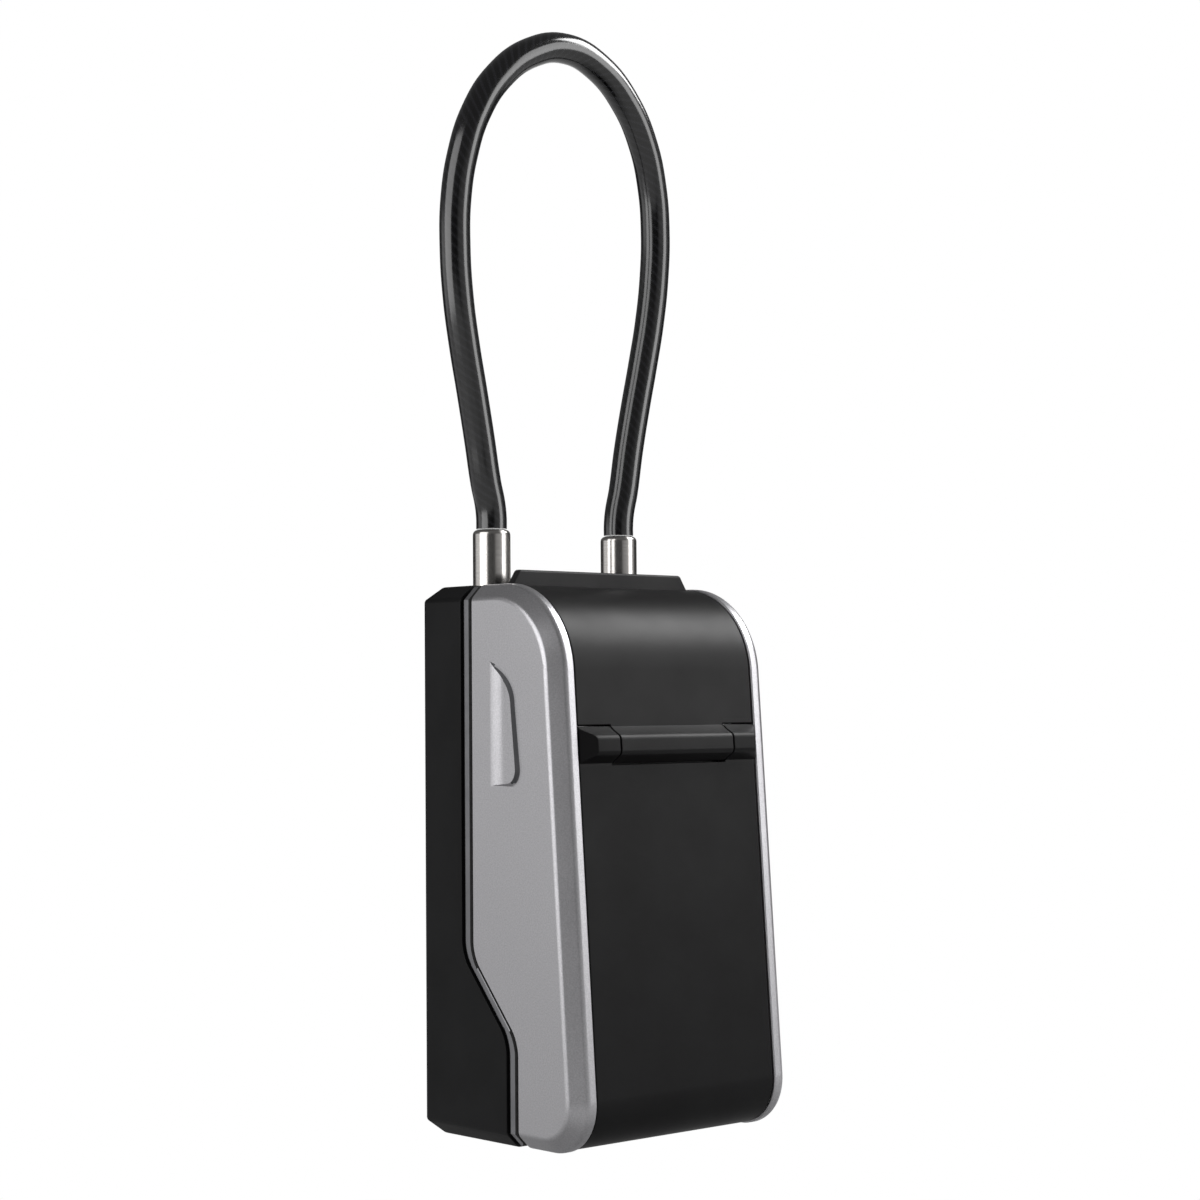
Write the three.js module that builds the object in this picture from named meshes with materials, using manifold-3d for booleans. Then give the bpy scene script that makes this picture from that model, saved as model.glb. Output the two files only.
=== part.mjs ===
// Portable combination lock box with a cable shackle, in millimetres.
// +Z up, the front faces -Y, the origin is the middle of the body's foot.
// At rest the door is shut with its latch drawn back, and the shackle is pushed home.
import * as THREE from "three";
import { mergeVertices } from "three/addons/utils/BufferGeometryUtils.js";
import Module from "manifold-3d";

const wasm = await Module();
wasm.setup();

// Outer form of the body
const bodyWidth = 83.2;
const bodyHeight = 157.2;
const bodyDepth = 67.6;
const frontLean = THREE.MathUtils.degToRad(3.95);
const topRadius = 26.5;
const footRadius = 14.5;
const doorLift = 0.3;
const edgeBevel = 4.15;
const rearEdgeBevel = 1.8;
const rearCornerBevel = 5;
const rimWidth = 3.05;

// Clearances
const fitGap = 0.3;
const runGap = 0.4;
const seamGap = 0.9;

// Seam between the rear case and the door, which steps forward near the foot
const caseDepthTop = 23.4;
const caseDepthFoot = 42.8;
const jogTop = 52.2;
const jogFoot = 29.9;
const jogSoftening = 4;
const beadWidth = 3.7;
const beadInset = 0.5;

// Walls
const jacketWall = 2;
const containerWall = 2.5;
const sillHeight = 27;
const webThickness = 2.2;
const cheekWall = 5.6;
const backPlateThickness = 1.6;
const backPlateInset = 0.6;
const smallestChamfer = 0.3;

// Black panels on the door's front
const panelRecess = 0.4;
const panelThickness = 2.4;
const panelPocket = 5.2;
const panelRibThickness = 2;
const panelRibPlace = 25;
const coverSeamGap = 4;
const lipHeight = 4.1;
const lipThickness = 2.5;
const lipSetback = 32.95;
const lipSlant = 2.6;

// Hinge ridge of the dial cover
const ridgeHeight = 111.7;
const ridgeReach = 3.8;
const ridgeHalf = 5.1;
const ridgeShoulderHalf = 3.9;
const ridgeShoulderReach = 1;
const ridgeFaceTop = 2.1;
const ridgeFaceFoot = 1.9;
const ridgeEndSlant = 3.6;
const knuckleHalfWidth = 21.7;
const knuckleBack = 3.4;
const coverPinRadius = 1.5;
const coverPinEnd = 2.3;

// Door hinge at the foot
const hingePinRadius = 1.5;
const hingeRound = 3.4;
const hingeKnuckleRadius = 3.1;
const hingeKnuckleInner = 14;
const hingeKnuckleOuter = 22;
const hingePinShort = 7.6;

// Door seal
const sealInset = 2.2;
const sealWidth = 2;
const sealGroove = 0.9;
const sealStand = 0.5;
const sealFoot = 9;

// Finger grips in the cheeks
const gripRear = 2.2;
const gripTop = 135.7;
const gripFoot = 99.8;
const gripDeep = 1.3;
const gripRamp = 3;
const gripFrontTop = -9.6;
const gripFrontFoot = -11.2;
const gripEase = 5;

// Shackle
const legSpacing = 50;
const legInset = 12.55;
const legRadius = 5.5;
const ferruleStand = 16.7;
const ferruleRounding = 1.1;
const legChamfer = 0.8;
const shackleTravel = 18;
const freeLegDepth = 16;
const cableRadius = 4.5;
const cableSides = 10;
const cableSteps = 32;
const neckRadius = 4;
const captivePinRadius = 1.5;
const captivePinDrop = 19.2;
const captivePinRear = 1;
const captiveHeadLength = 4;

// Housing of the shackle's lock
const housingFront = 21.6;
const housingDrop = 45.2;
const recessHalfWidth = 17.2;
const recessFloor = 18.6;
const strikeThickness = 1.5;
const strikeEdge = 0.6;
const strikeFoot = 3.8;
const strikeWindowFoot = 35.2;
const strikeWindowTop = 24.7;
const strikeScrewHigh = 18.5;
const strikeScrewLow = 38;
const hookPocketDepth = 4.6;
const hookPocketTop = 19.7;
const hookPocketFoot = 36.2;

// Shackle bolt
const boltDrop = 10;
const boltHalfHeight = 2.8;
const boltDepth = 6.3;
const boltTravel = 3.4;
const boltNose = 0.3;
const boltLength = 24.7;
const notchDepth = 3.1;
const boltSpringRoom = 10.4;
const boltSpringRadius = 2.3;
const boltSpringWire = 0.35;
const boltSpringCurls = 5;
const tabStand = 1.7;
const tabHalfWidth = 4;

// Number wheels
const wheelCount = 4;
const wheelPitch = 11;
const wheelWidth = 8.6;
const wheelLatchGap = 3.15;
const wheelGroove = 0.6;
const wheelStand = 1.8;
const wheelDrop = 32;
const digits = 10;
const hubShare = 0.38;
const flangeWidth = 1.6;
const gateWidth = 3;
const gateDepth = 2.4;
const axleRadius = 2;
const keyWidth = 1.6;
const keyHeight = 0.9;
const windowSideGap = 0.4;

// Wheel carrier, fence, detent and bezel
const earInner = 23.4;
const earThickness = 2;
const earRearWall = 3.3;
const spacerWall = 1.8;
const lowerBridgeThickness = 2.7;
const bridgeThickness = 2;
const fenceHeight = 2.5;
const fenceDepth = 3;
const fenceToothWidth = 1.2;
const detentThickness = 0.7;
const detentReach = 13;
const detentBaseDepth = 3;
const detentBaseHeight = 2.6;
const detentFingerWidth = 5;
const bezelThickness = 0.6;
const bezelHalfWidth = 27;
const bezelHalfHeight = 12.5;
const bezelWindowGap = 0.75;

// Latch and release lever
const latchTravel = 5;
const latchPlateThickness = 1.8;
const latchPlateHalfWidth = 12;
const latchSetback = 3.2;
const hookInner = 8;
const hookWidth = 6;
const hookArmHeight = 3;
const hookHeight = 7.5;
const hookReach = 3.7;
const hookThickness = 3.2;
const hookRise = 1.5;
const leverHalfWidth = 11;
const leverThickness = 1.6;
const leverDrop = 36.3;
const leverHeight = 12;
const leverRib = 0.45;
const stemHalfWidth = 4.5;
const stemHeight = 4;
const stemDepth = 10;
const tongueHalfWidth = 4.2;
const crossbarRise = 9;
const crossbarHeight = 2.5;
const crossbarShort = 3;
const latchSpringInset = 6;
const latchSpringRadius = 2.5;
const latchSpringWire = 0.4;
const latchSpringCurls = 7;
const latchSpringLength = 19;
const ledgeHeight = 4;
const lugDepth = 8.5;

// Change lever on the inside of the door
const changeSpringGap = 6;
const changeDrop = 3.7;
const changeShaftRadius = 2;
const changeHubRadius = 4.5;
const changeArmLength = 14;
const changeThickness = 2;

// Screws
const screwRadius = 1.3;
const screwHeadRadius = 2.8;
const screwHeadHeight = 1.3;
const screwLength = 8.5;
const postRadius = 2.6;
const postInset = 3.4;
const postHigh = 15.2;
const postLow = 60;
const strikeScrewLength = 5;
const slotWidth = 0.7;
const slotDepth = 0.6;

// How finely round shapes are drawn
const topSteps = 10;
const footSteps = 8;
const cornerSteps = 3;
const roundSides = 24;
const smallSides = 14;

// Derived places
const halfWidth = bodyWidth / 2;
const frontY = -bodyDepth / 2;
const rearY = bodyDepth / 2;
const beyond = bodyDepth;
const seamTopY = rearY - caseDepthTop;
const seamFootY = rearY - caseDepthFoot;
const jacketEdge = seamGap + beadWidth + fitGap;
const panelHalfWidth = halfWidth - edgeBevel - rimWidth;
const doorCavity = panelPocket + webThickness;
const cavityHalfWidth = halfWidth - cheekWall;
const containerInset = jacketWall + fitGap;
const roomInset = containerInset + containerWall;
const footCentre = { y: frontY + footRadius, z: doorLift + footRadius };
const topCentre = { y: 0, z: bodyHeight - topRadius };
const hinge = { y: seamFootY + seamGap + hingeRound, z: beadInset + hingeRound };
const legX = legSpacing / 2;
const legY = rearY - legInset;
const boreRadius = legRadius + runGap;
const ferruleTop = bodyHeight + ferruleStand;

// Depth of the leaning front at a height
function frontAt(z, inset = 0) {
  const foot = footCentre.y - (footRadius - inset) / Math.cos(frontLean);
  return foot + (z - footCentre.z) * Math.tan(frontLean);
}
topCentre.y = frontAt(topCentre.z) + topRadius / Math.cos(frontLean);

// Half the height that a number wheel has at a depth under the door's front
function wheelHalfHeight(depth) {
  return Math.sqrt(wheelRadius ** 2 - (wheelY - depth) ** 2);
}

// The latch runs just before the back plate, and the wheels fill the depth before the latch
const postPlace = cavityHalfWidth - postInset;
const latchSpringPlace = cavityHalfWidth - latchSpringInset;
const crossbarHalfWidth = cavityHalfWidth - crossbarShort;
const hingePinHalf = halfWidth - hingePinShort;
const rowZ = ridgeHeight - wheelDrop;
const latchRear = seamTopY - backPlateInset - backPlateThickness - latchSetback;
const latchFront = latchRear - latchPlateThickness;
const wheelRadius = (latchFront - wheelLatchGap - frontAt(rowZ, panelPocket - wheelStand)) / 2;
const wheelY = panelPocket - wheelStand + wheelRadius;

// Each cam's hub takes a share of the wall between axle and wheel rim, and its flange clears the web
const hubRadius = axleRadius + hubShare * (wheelRadius - axleRadius);
const flangeRadius = wheelY - doorCavity - runGap;
const windowHalfHeight = wheelHalfHeight(doorCavity) + runGap;
const bezelWindowHalf = wheelHalfHeight(panelPocket - fitGap) + bezelWindowGap;
const coverWrap = seamFootY - coverSeamGap - footCentre.y;
const changePlace = latchSpringPlace - changeSpringGap;
const crossbarZ = rowZ + crossbarRise;
const ledgeTop = crossbarZ - latchSpringLength - fitGap;
const springY = latchRear - lugDepth + latchSpringRadius + 1;

// Colours, roughness and metalness
const finishes = {
  silverPaint: [0x9a9a9c, 0.45, 0.55],
  blackMoulding: [0x262628, 0.5, 0],
  blackCast: [0x1c1c1e, 0.35, 0.1],
  steel: [0xb4b2b0, 0.28, 1],
  zinc: [0x8d9093, 0.5, 0.8],
  springSteel: [0x9a9ca0, 0.3, 1],
  vinyl: [0x0c0c0e, 0.25, 0],
  rubber: [0x141414, 0.85, 0],
  whiteNumber: [0x1a1a1c, 0.45, 0],
};

const lockBox = new THREE.Group();
lockBox.name = "lock_box";

// A closed geometry as a solid that can be joined and cut
function solid(geometry) {
  const bare = geometry.index ? geometry.toNonIndexed() : geometry.clone();
  bare.deleteAttribute("normal");
  bare.deleteAttribute("uv");
  const merged = mergeVertices(bare, 1e-4);
  const mesh = new wasm.Mesh({
    numProp: 3,
    vertProperties: new Float32Array(merged.attributes.position.array),
    triVerts: new Uint32Array(merged.index.array),
  });
  return new wasm.Manifold(mesh);
}

// A solid as a geometry with flat faces
function geometryOf(made) {
  const mesh = made.getMesh();
  const geometry = new THREE.BufferGeometry();
  geometry.setAttribute("position", new THREE.BufferAttribute(new Float32Array(mesh.vertProperties), 3));
  geometry.setIndex(new THREE.BufferAttribute(new Uint32Array(mesh.triVerts), 1));
  const flat = geometry.toNonIndexed();
  flat.computeVertexNormals();
  return flat;
}

function addPiece(name, shape, finish, group = lockBox) {
  const geometry = shape.isBufferGeometry ? shape : geometryOf(shape);
  const [color, roughness, metalness] = finishes[finish];
  const mesh = new THREE.Mesh(geometry, new THREE.MeshStandardMaterial({ color, roughness, metalness }));
  mesh.name = name;
  group.add(mesh);
  return mesh;
}

// Straight bars of one outline, along X from [y, z] points, along Y from [x, z], along Z from [x, y]
function bar(points, length, basis, bevel = {}) {
  const outline = new THREE.Shape(points.map(([a, b]) => new THREE.Vector2(a, b)));
  const options = { depth: length, bevelEnabled: false, ...bevel };
  const geometry = new THREE.ExtrudeGeometry(outline, options);
  return geometry.applyMatrix4(new THREE.Matrix4().makeBasis(...basis.map((v) => new THREE.Vector3(...v))));
}
const alongX = [[0, 1, 0], [0, 0, 1], [1, 0, 0]];
const alongY = [[1, 0, 0], [0, 0, 1], [0, -1, 0]];
const alongZ = [[1, 0, 0], [0, 1, 0], [0, 0, 1]];

function barX(points, low, high) {
  return bar(points, high - low, alongX).translate(low, 0, 0);
}

function barY(points, low, high) {
  return bar(points, high - low, alongY).translate(0, high, 0);
}

function barZ(points, low, high) {
  return bar(points, high - low, alongZ).translate(0, 0, low);
}

function block(x, y, z) {
  const geometry = new THREE.BoxGeometry(x[1] - x[0], y[1] - y[0], z[1] - z[0]);
  return geometry.translate((x[0] + x[1]) / 2, (y[0] + y[1]) / 2, (z[0] + z[1]) / 2);
}

// Round rods: the first number pair is the place across the rod, the second its two ends
function rodX([y, z], [low, high], radius, sides = roundSides) {
  const rod = new THREE.CylinderGeometry(radius, radius, high - low, sides).rotateZ(-Math.PI / 2);
  return rod.translate((low + high) / 2, y, z);
}

function rodY([x, z], [low, high], radius, sides = roundSides) {
  const rod = new THREE.CylinderGeometry(radius, radius, high - low, sides);
  return rod.translate(x, (low + high) / 2, z);
}

function rodZ([x, y], [low, high], radius, sides = roundSides) {
  const rod = new THREE.CylinderGeometry(radius, radius, high - low, sides).rotateX(Math.PI / 2);
  return rod.translate(x, y, (low + high) / 2);
}

const bothSides = [-1, 1];
function span(side, inner, outer) {
  return side < 0 ? [-outer, -inner] : [inner, outer];
}

function arc(centre, radius, from, to, steps) {
  const points = [];
  for (let i = 0; i <= steps; i++) {
    const turn = from + ((to - from) * i) / steps;
    points.push([centre.y + radius * Math.cos(turn), centre.z + radius * Math.sin(turn)]);
  }
  return points;
}

// Side outline of the door: flat top, round top corner, leaning front, round foot, flat bottom
function doorOutline(inset, rear) {
  const turn = Math.PI - frontLean;
  return [
    [rear, bodyHeight - inset],
    ...arc(topCentre, topRadius - inset, Math.PI / 2, turn, topSteps),
    ...arc(footCentre, footRadius - inset, turn, 1.5 * Math.PI, footSteps),
    [rear, doorLift + inset],
  ];
}

// The seam seen from the side, moved back by an offset, from above the body to below it
function seamLine(offset) {
  const upper = seamTopY + offset;
  const lower = seamFootY + offset;
  const slant = new THREE.Vector2(lower - upper, jogFoot - jogTop).normalize().multiplyScalar(jogSoftening);
  const softened = (y, z, before, after) => {
    const curve = new THREE.QuadraticBezierCurve(
      new THREE.Vector2(y + before.x, z + before.y),
      new THREE.Vector2(y, z),
      new THREE.Vector2(y + after.x, z + after.y),
    );
    return curve.getPoints(cornerSteps).map((p) => [p.x, p.y]);
  };
  const up = new THREE.Vector2(0, jogSoftening);
  return [
    [upper, bodyHeight + beyond],
    ...softened(upper, jogTop, up, slant),
    ...softened(lower, jogFoot, slant.clone().negate(), up.clone().negate()),
    [lower, -beyond],
  ];
}

function behindSeam(offset) {
  const points = [...seamLine(offset), [rearY + beyond, -beyond], [rearY + beyond, bodyHeight + beyond]];
  return solid(barX(points, -beyond, beyond));
}

// Bevelled block of the rear case with every face drawn in, open-ended towards the front
function caseBlock(inset) {
  const half = halfWidth - inset;
  const top = bodyHeight - inset;
  const rear = rearY - inset;
  const front = frontY - beyond;
  const shrink = inset * (2 - Math.SQRT2);
  const edge = Math.max(edgeBevel - shrink, smallestChamfer);
  const corner = Math.max(rearCornerBevel - shrink, smallestChamfer);
  const upright = Math.max(rearEdgeBevel - shrink, smallestChamfer);
  const side = [[front, inset], [rear - corner, inset], [rear, inset + corner]];
  side.push([rear, top - corner], [rear - corner, top], [front, top]);
  const face = [[-half + edge, inset], [half - edge, inset], [half, inset + edge], [half, top - edge]];
  face.push([half - edge, top], [-half + edge, top], [-half, top - edge], [-half, inset + edge]);
  const plan = [[-half, front], [half, front], [half, rear - upright], [half - upright, rear]];
  plan.push([-half + upright, rear], [-half, rear - upright]);
  return solid(barX(side, -half - 1, half + 1))
    .intersect(solid(barY(face, front - 1, rear + 1)))
    .intersect(solid(barZ(plan, inset - 1, top + 1)));
}

function cutAll(from, cutters) {
  return cutters.reduce((left, cutter) => left.subtract(solid(cutter)), from);
}

function joinAll(to, joined) {
  return joined.reduce((whole, piece) => whole.add(solid(piece)), to);
}

// A coil spring along Z as one unbroken tube, its foot at the origin
const springSteps = 8;
const springSides = 5;
function springGeometry(name, radius, wire, length, curls) {
  const steps = springSteps * curls;
  const pitch = (length - 2 * wire) / curls;
  const path = [];
  for (let i = 0; i <= steps; i++) {
    const turn = (2 * Math.PI * i) / springSteps;
    const height = wire + (pitch * i) / springSteps;
    path.push(new THREE.Vector3((radius - wire) * Math.cos(turn), (radius - wire) * Math.sin(turn), height));
  }
  let leastGap = Infinity;
  for (let i = 0; i <= steps; i++) {
    for (let j = i + springSteps / 2 + 1; j <= steps; j++) {
      leastGap = Math.min(leastGap, path[i].distanceTo(path[j]) - 2 * wire);
    }
  }
  console.log(`${name}: least gap between curls ${leastGap.toFixed(2)} mm`);
  const positions = [];
  path.forEach((point, i) => {
    const turn = (2 * Math.PI * i) / springSteps;
    const out = new THREE.Vector3(Math.cos(turn), Math.sin(turn), 0);
    for (let k = 0; k < springSides; k++) {
      const around = (2 * Math.PI * k) / springSides;
      const place = point.clone().addScaledVector(out, wire * Math.cos(around));
      place.z += wire * Math.sin(around);
      positions.push(place.x, place.y, place.z);
    }
  });
  const index = [];
  for (let i = 0; i < steps; i++) {
    for (let k = 0; k < springSides; k++) {
      const a = i * springSides + k;
      const b = i * springSides + ((k + 1) % springSides);
      index.push(a, a + springSides, b, b, a + springSides, b + springSides);
    }
  }
  const last = steps * springSides;
  for (let k = 1; k < springSides - 1; k++) {
    index.push(0, k, k + 1, last, last + k + 1, last + k);
  }
  const geometry = new THREE.BufferGeometry();
  geometry.setAttribute("position", new THREE.Float32BufferAttribute(positions, 3));
  geometry.setIndex(index);
  geometry.computeVertexNormals();
  return geometry;
}

// A pan-head screw with a slot, its head's seat at the origin and its shank along +Y
function screwGeometry(length) {
  const head = solid(rodY([0, 0], [-screwHeadHeight, 0], screwHeadRadius, smallSides));
  const shank = solid(rodY([0, 0], [-screwHeadHeight / 2, length], screwRadius, smallSides));
  const halfSlot = slotWidth / 2;
  const reach = screwHeadRadius + 1;
  const slot = block([-reach, reach], [-screwHeadHeight - 1, slotDepth - screwHeadHeight], [-halfSlot, halfSlot]);
  return geometryOf(cutAll(head.add(shank), [slot]));
}

// Rear case: moulded jacket over a cast key container
const legHoles = bothSides.map((side) => {
  return rodZ([side * legX, legY], [bodyHeight / 2, bodyHeight + 1], boreRadius);
});
const knuckleNotches = bothSides.map((side) => {
  const x = span(side, hingeKnuckleInner - runGap, hingeKnuckleOuter + runGap);
  const rear = hinge.y + hingeKnuckleRadius + runGap;
  return block(x, [seamFootY - 1, rear], [-1, hinge.z + hingeKnuckleRadius + runGap]);
});

function makeJacket() {
  const shell = caseBlock(0).intersect(behindSeam(jacketEdge)).subtract(caseBlock(jacketWall));
  return cutAll(shell, [...legHoles, ...knuckleNotches]);
}

function makeContainer() {
  const face = behindSeam(seamGap);
  const shell = caseBlock(containerInset).intersect(face);
  const bead = caseBlock(beadInset).intersect(face).subtract(behindSeam(jacketEdge - fitGap));
  const lug = cutAll(solid(rodX([hinge.y, hinge.z], [-hingePinHalf - 1, hingePinHalf + 1], hingeRound)), [
    block([-beyond, beyond], [seamFootY + jacketEdge - fitGap, beyond], [-1, containerInset]),
  ]);
  const sill = block(
    [-beyond, beyond],
    [frontY - 2 * beyond, seamFootY + seamGap + containerWall],
    [-beyond, sillHeight],
  );
  const room = cutAll(caseBlock(roomInset), [sill]);
  const edgeRound = cutAll(
    solid(block([-beyond, beyond], [seamFootY, hinge.y], [-1, hinge.z])),
    [rodX([hinge.y, hinge.z], [-beyond - 1, beyond + 1], hingeRound)],
  );
  const groove = sealBand(sealGroove + seamGap, sealInset - fitGap, sealWidth + 2 * fitGap, sealFoot - fitGap);
  const pinHole = rodX([hinge.y, hinge.z], [-hingePinHalf - fitGap, hingePinHalf + fitGap], hingePinRadius + fitGap);
  const whole = shell.add(bead).subtract(room).add(lug).subtract(edgeRound).subtract(groove);
  return cutAll(whole, [...legHoles, ...knuckleNotches, pinHole]);
}

// A band that follows the case's open edge at its top and sides
function sealBand(depth, inset, width, foot) {
  const ring = caseBlock(inset).subtract(caseBlock(inset + width));
  const above = solid(block([-beyond, beyond], [-beyond, beyond], [foot, bodyHeight]));
  return ring.intersect(behindSeam(seamGap - sealStand)).subtract(behindSeam(depth)).intersect(above);
}

addPiece("rear_jacket", makeJacket(), "blackMoulding");
addPiece("key_container", makeContainer(), "blackCast");
addPiece("door_seal", sealBand(sealGroove + seamGap - fitGap, sealInset, sealWidth, sealFoot), "rubber");
addPiece("door_hinge_pin", rodX([hinge.y, hinge.z], [-hingePinHalf, hingePinHalf], hingePinRadius), "steel");

// Housing of the shackle's lock, with the strike plate on its front
const housingTop = bodyHeight - roomInset - fitGap;
const housingFoot = bodyHeight - housingDrop;
const housingFrontY = rearY - housingFront;
const recessY = rearY - recessFloor;
const boltZ = bodyHeight - boltDrop;
const captivePinX = -legX + legRadius + runGap;
const captivePinZ = bodyHeight - captivePinDrop;
const strikeY = recessY - fitGap - strikeThickness;
const boltNoseX = legX - boreRadius - boltNose;
const boltTailX = boltNoseX - boltLength;
const hookOuter = hookInner + hookWidth;
const boltRear = recessY + fitGap + boltDepth;

function makeHousing() {
  const front = block([-beyond, beyond], [housingFrontY, beyond], [housingFoot, housingTop]);
  const core = caseBlock(roomInset + fitGap).intersect(solid(front));
  const recess = block(
    [-recessHalfWidth, recessHalfWidth],
    [housingFrontY - 1, recessY],
    [housingFoot + strikeFoot - fitGap, housingTop + 1],
  );
  const boltRoom = block(
    [boltTailX - boltSpringRoom - fitGap, legX],
    [recessY - 1, boltRear + fitGap],
    [boltZ - boltHalfHeight - fitGap, boltZ + boltHalfHeight + fitGap],
  );
  const captiveBore = rodZ([-legX, legY], [housingFoot - 1, housingTop + 1], boreRadius);
  const freeBore = rodZ([legX, legY], [bodyHeight - freeLegDepth - 1, housingTop + 1], boreRadius);
  const pinBore = rodY([captivePinX, captivePinZ], [recessY + fitGap, rearY], captivePinRadius + fitGap, smallSides);
  const hookPockets = bothSides.map((side) => {
    const x = span(side, hookInner - 2 * runGap, hookOuter + 2 * runGap);
    return block(x, [recessY - 1, recessY + hookPocketDepth], [bodyHeight - hookPocketFoot, bodyHeight - hookPocketTop]);
  });
  const screwHoles = [strikeScrewHigh, strikeScrewLow].map((drop) => {
    return rodY([0, bodyHeight - drop], [recessY - 1, recessY + strikeScrewLength], screwRadius + fitGap, smallSides);
  });
  return cutAll(core, [recess, boltRoom, captiveBore, freeBore, pinBore, ...hookPockets, ...screwHoles]);
}

function makeStrike() {
  const half = recessHalfWidth - fitGap;
  const plate = solid(block(
    [-half, half],
    [strikeY, strikeY + strikeThickness],
    [housingFoot + strikeFoot, housingTop - strikeEdge],
  ));
  const windows = bothSides.map((side) => {
    const x = span(side, hookInner - 2 * runGap, hookOuter + 2 * runGap);
    return block(x, [strikeY - 1, recessY], [bodyHeight - strikeWindowFoot, bodyHeight - strikeWindowTop]);
  });
  const tabSlot = block(
    [-tabHalfWidth - runGap, tabHalfWidth + boltTravel + runGap],
    [strikeY - 1, recessY],
    [boltZ - boltHalfHeight, boltZ + boltHalfHeight],
  );
  const holes = [strikeScrewHigh, strikeScrewLow].map((drop) => {
    return rodY([0, bodyHeight - drop], [strikeY - 1, recessY], screwRadius + fitGap, smallSides);
  });
  return cutAll(plate, [...windows, tabSlot, ...holes]);
}

addPiece("shackle_housing", makeHousing(), "zinc");
addPiece("strike_plate", makeStrike(), "steel");
[["upper", strikeScrewHigh], ["lower", strikeScrewLow]].forEach(([place, drop]) => {
  const screw = addPiece(`strike_screw_${place}`, screwGeometry(strikeScrewLength), "steel");
  screw.position.set(0, strikeY - fitGap, bodyHeight - drop);
});
addPiece(
  "captive_pin",
  rodY([captivePinX, captivePinZ], [recessY + 2 * fitGap, rearY - roomInset - fitGap - captivePinRear],
    captivePinRadius, smallSides),
  "steel",
);

// Shackle bolt with its thumb tab, drawn back from the free leg, and its spring
function makeBolt() {
  const barPart = solid(block(
    [boltTailX, boltNoseX],
    [recessY + fitGap, boltRear],
    [boltZ - boltHalfHeight, boltZ + boltHalfHeight],
  ));
  const neck = block(
    [-tabHalfWidth, tabHalfWidth],
    [strikeY - fitGap, recessY + fitGap + 1],
    [boltZ - boltHalfHeight + runGap, boltZ + boltHalfHeight - runGap],
  );
  return joinAll(barPart, [neck]);
}

function makeTab() {
  const half = tabHalfWidth;
  const foot = boltZ - boltHalfHeight + runGap;
  const top = boltZ + boltHalfHeight - runGap;
  const front = strikeY - tabStand;
  const rear = strikeY - 2 * fitGap;
  const ridges = [[-half, rear], [-half, front]];
  const ribs = 4;
  for (let i = 0; i < ribs; i++) {
    const low = -half + (2 * half * i) / ribs;
    const high = -half + (2 * half * (i + 0.6)) / ribs;
    ridges.push([low + 0.1, front], [high, front], [high, front + leverRib]);
    ridges.push([-half + (2 * half * (i + 1)) / ribs, front + leverRib]);
  }
  ridges.push([half, rear]);
  return barZ(ridges, foot, top);
}

addPiece("shackle_bolt", makeBolt(), "steel");
addPiece("shackle_release_tab", makeTab(), "blackMoulding");
const boltSpring = addPiece(
  "shackle_bolt_spring",
  springGeometry("shackle bolt spring", boltSpringRadius, boltSpringWire, boltSpringRoom - fitGap, boltSpringCurls),
  "springSteel",
);
boltSpring.rotation.y = Math.PI / 2;
boltSpring.position.set(boltTailX - boltSpringRoom, recessY + fitGap + boltDepth / 2, boltZ);

// Shackle legs and cable
function turnedLeg(profile) {
  const points = profile.map(([radius, z]) => new THREE.Vector2(radius, z));
  return new THREE.LatheGeometry(points, roundSides).rotateX(Math.PI / 2);
}

function legTop() {
  return [[legRadius, ferruleTop - ferruleRounding], [legRadius - ferruleRounding / 2, ferruleTop], [0, ferruleTop]];
}

const freeFoot = bodyHeight - freeLegDepth;
const neckTop = captivePinZ + captivePinRadius + fitGap;
const neckFoot = captivePinZ - captivePinRadius - fitGap - shackleTravel;
const captiveFoot = neckFoot - captiveHeadLength;
const captiveLeg = turnedLeg([
  [0, captiveFoot],
  [legRadius - legChamfer, captiveFoot],
  [legRadius, captiveFoot + legChamfer],
  [legRadius, neckFoot],
  [neckRadius, neckFoot],
  [neckRadius, neckTop],
  [legRadius, neckTop],
  ...legTop(),
]);
const freeLeg = turnedLeg([
  [0, freeFoot],
  [legRadius - legChamfer, freeFoot],
  [legRadius, freeFoot + legChamfer],
  ...legTop(),
]);
const notch = block(
  [-legRadius - 1, notchDepth - legRadius],
  [-legRadius - 1, legRadius + 1],
  [boltZ - boltHalfHeight - runGap, boltZ + boltHalfHeight + runGap],
);
addPiece("shackle_leg_captive", captiveLeg, "steel").position.set(-legX, legY, 0);
addPiece("shackle_leg_free", cutAll(solid(freeLeg), [notch]), "steel").position.set(legX, legY, 0);

// Left half of the cable's centre line, as offsets from the middle of the two ferrules' tops
const halfRoute = [
  [-25, 0, 0.3],
  [-25.02, 0, 3.5],
  [-25.5, 0, 7.5],
  [-27.05, 0, 13.7],
  [-29.4, 0, 26.6],
  [-32.2, -0.2, 40],
  [-35.2, -0.5, 53.4],
  [-37.8, -1, 67.1],
  [-39.3, -1.6, 81.1],
  [-39.4, -2.2, 95.1],
  [-37.5, -3, 108.3],
  [-33.1, -3.8, 121.1],
  [-25.1, -4.6, 132.8],
  [-13.4, -5.3, 141.6],
];
const routeApex = [0, -5.6, 145];
const wholeRoute = [...halfRoute, routeApex, ...halfRoute.map(([x, y, z]) => [-x, y, z]).reverse()];
const cablePath = new THREE.CatmullRomCurve3(
  wholeRoute.map(([x, y, z]) => new THREE.Vector3((x * legX) / 25, legY + y, ferruleTop + z)),
);

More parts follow.
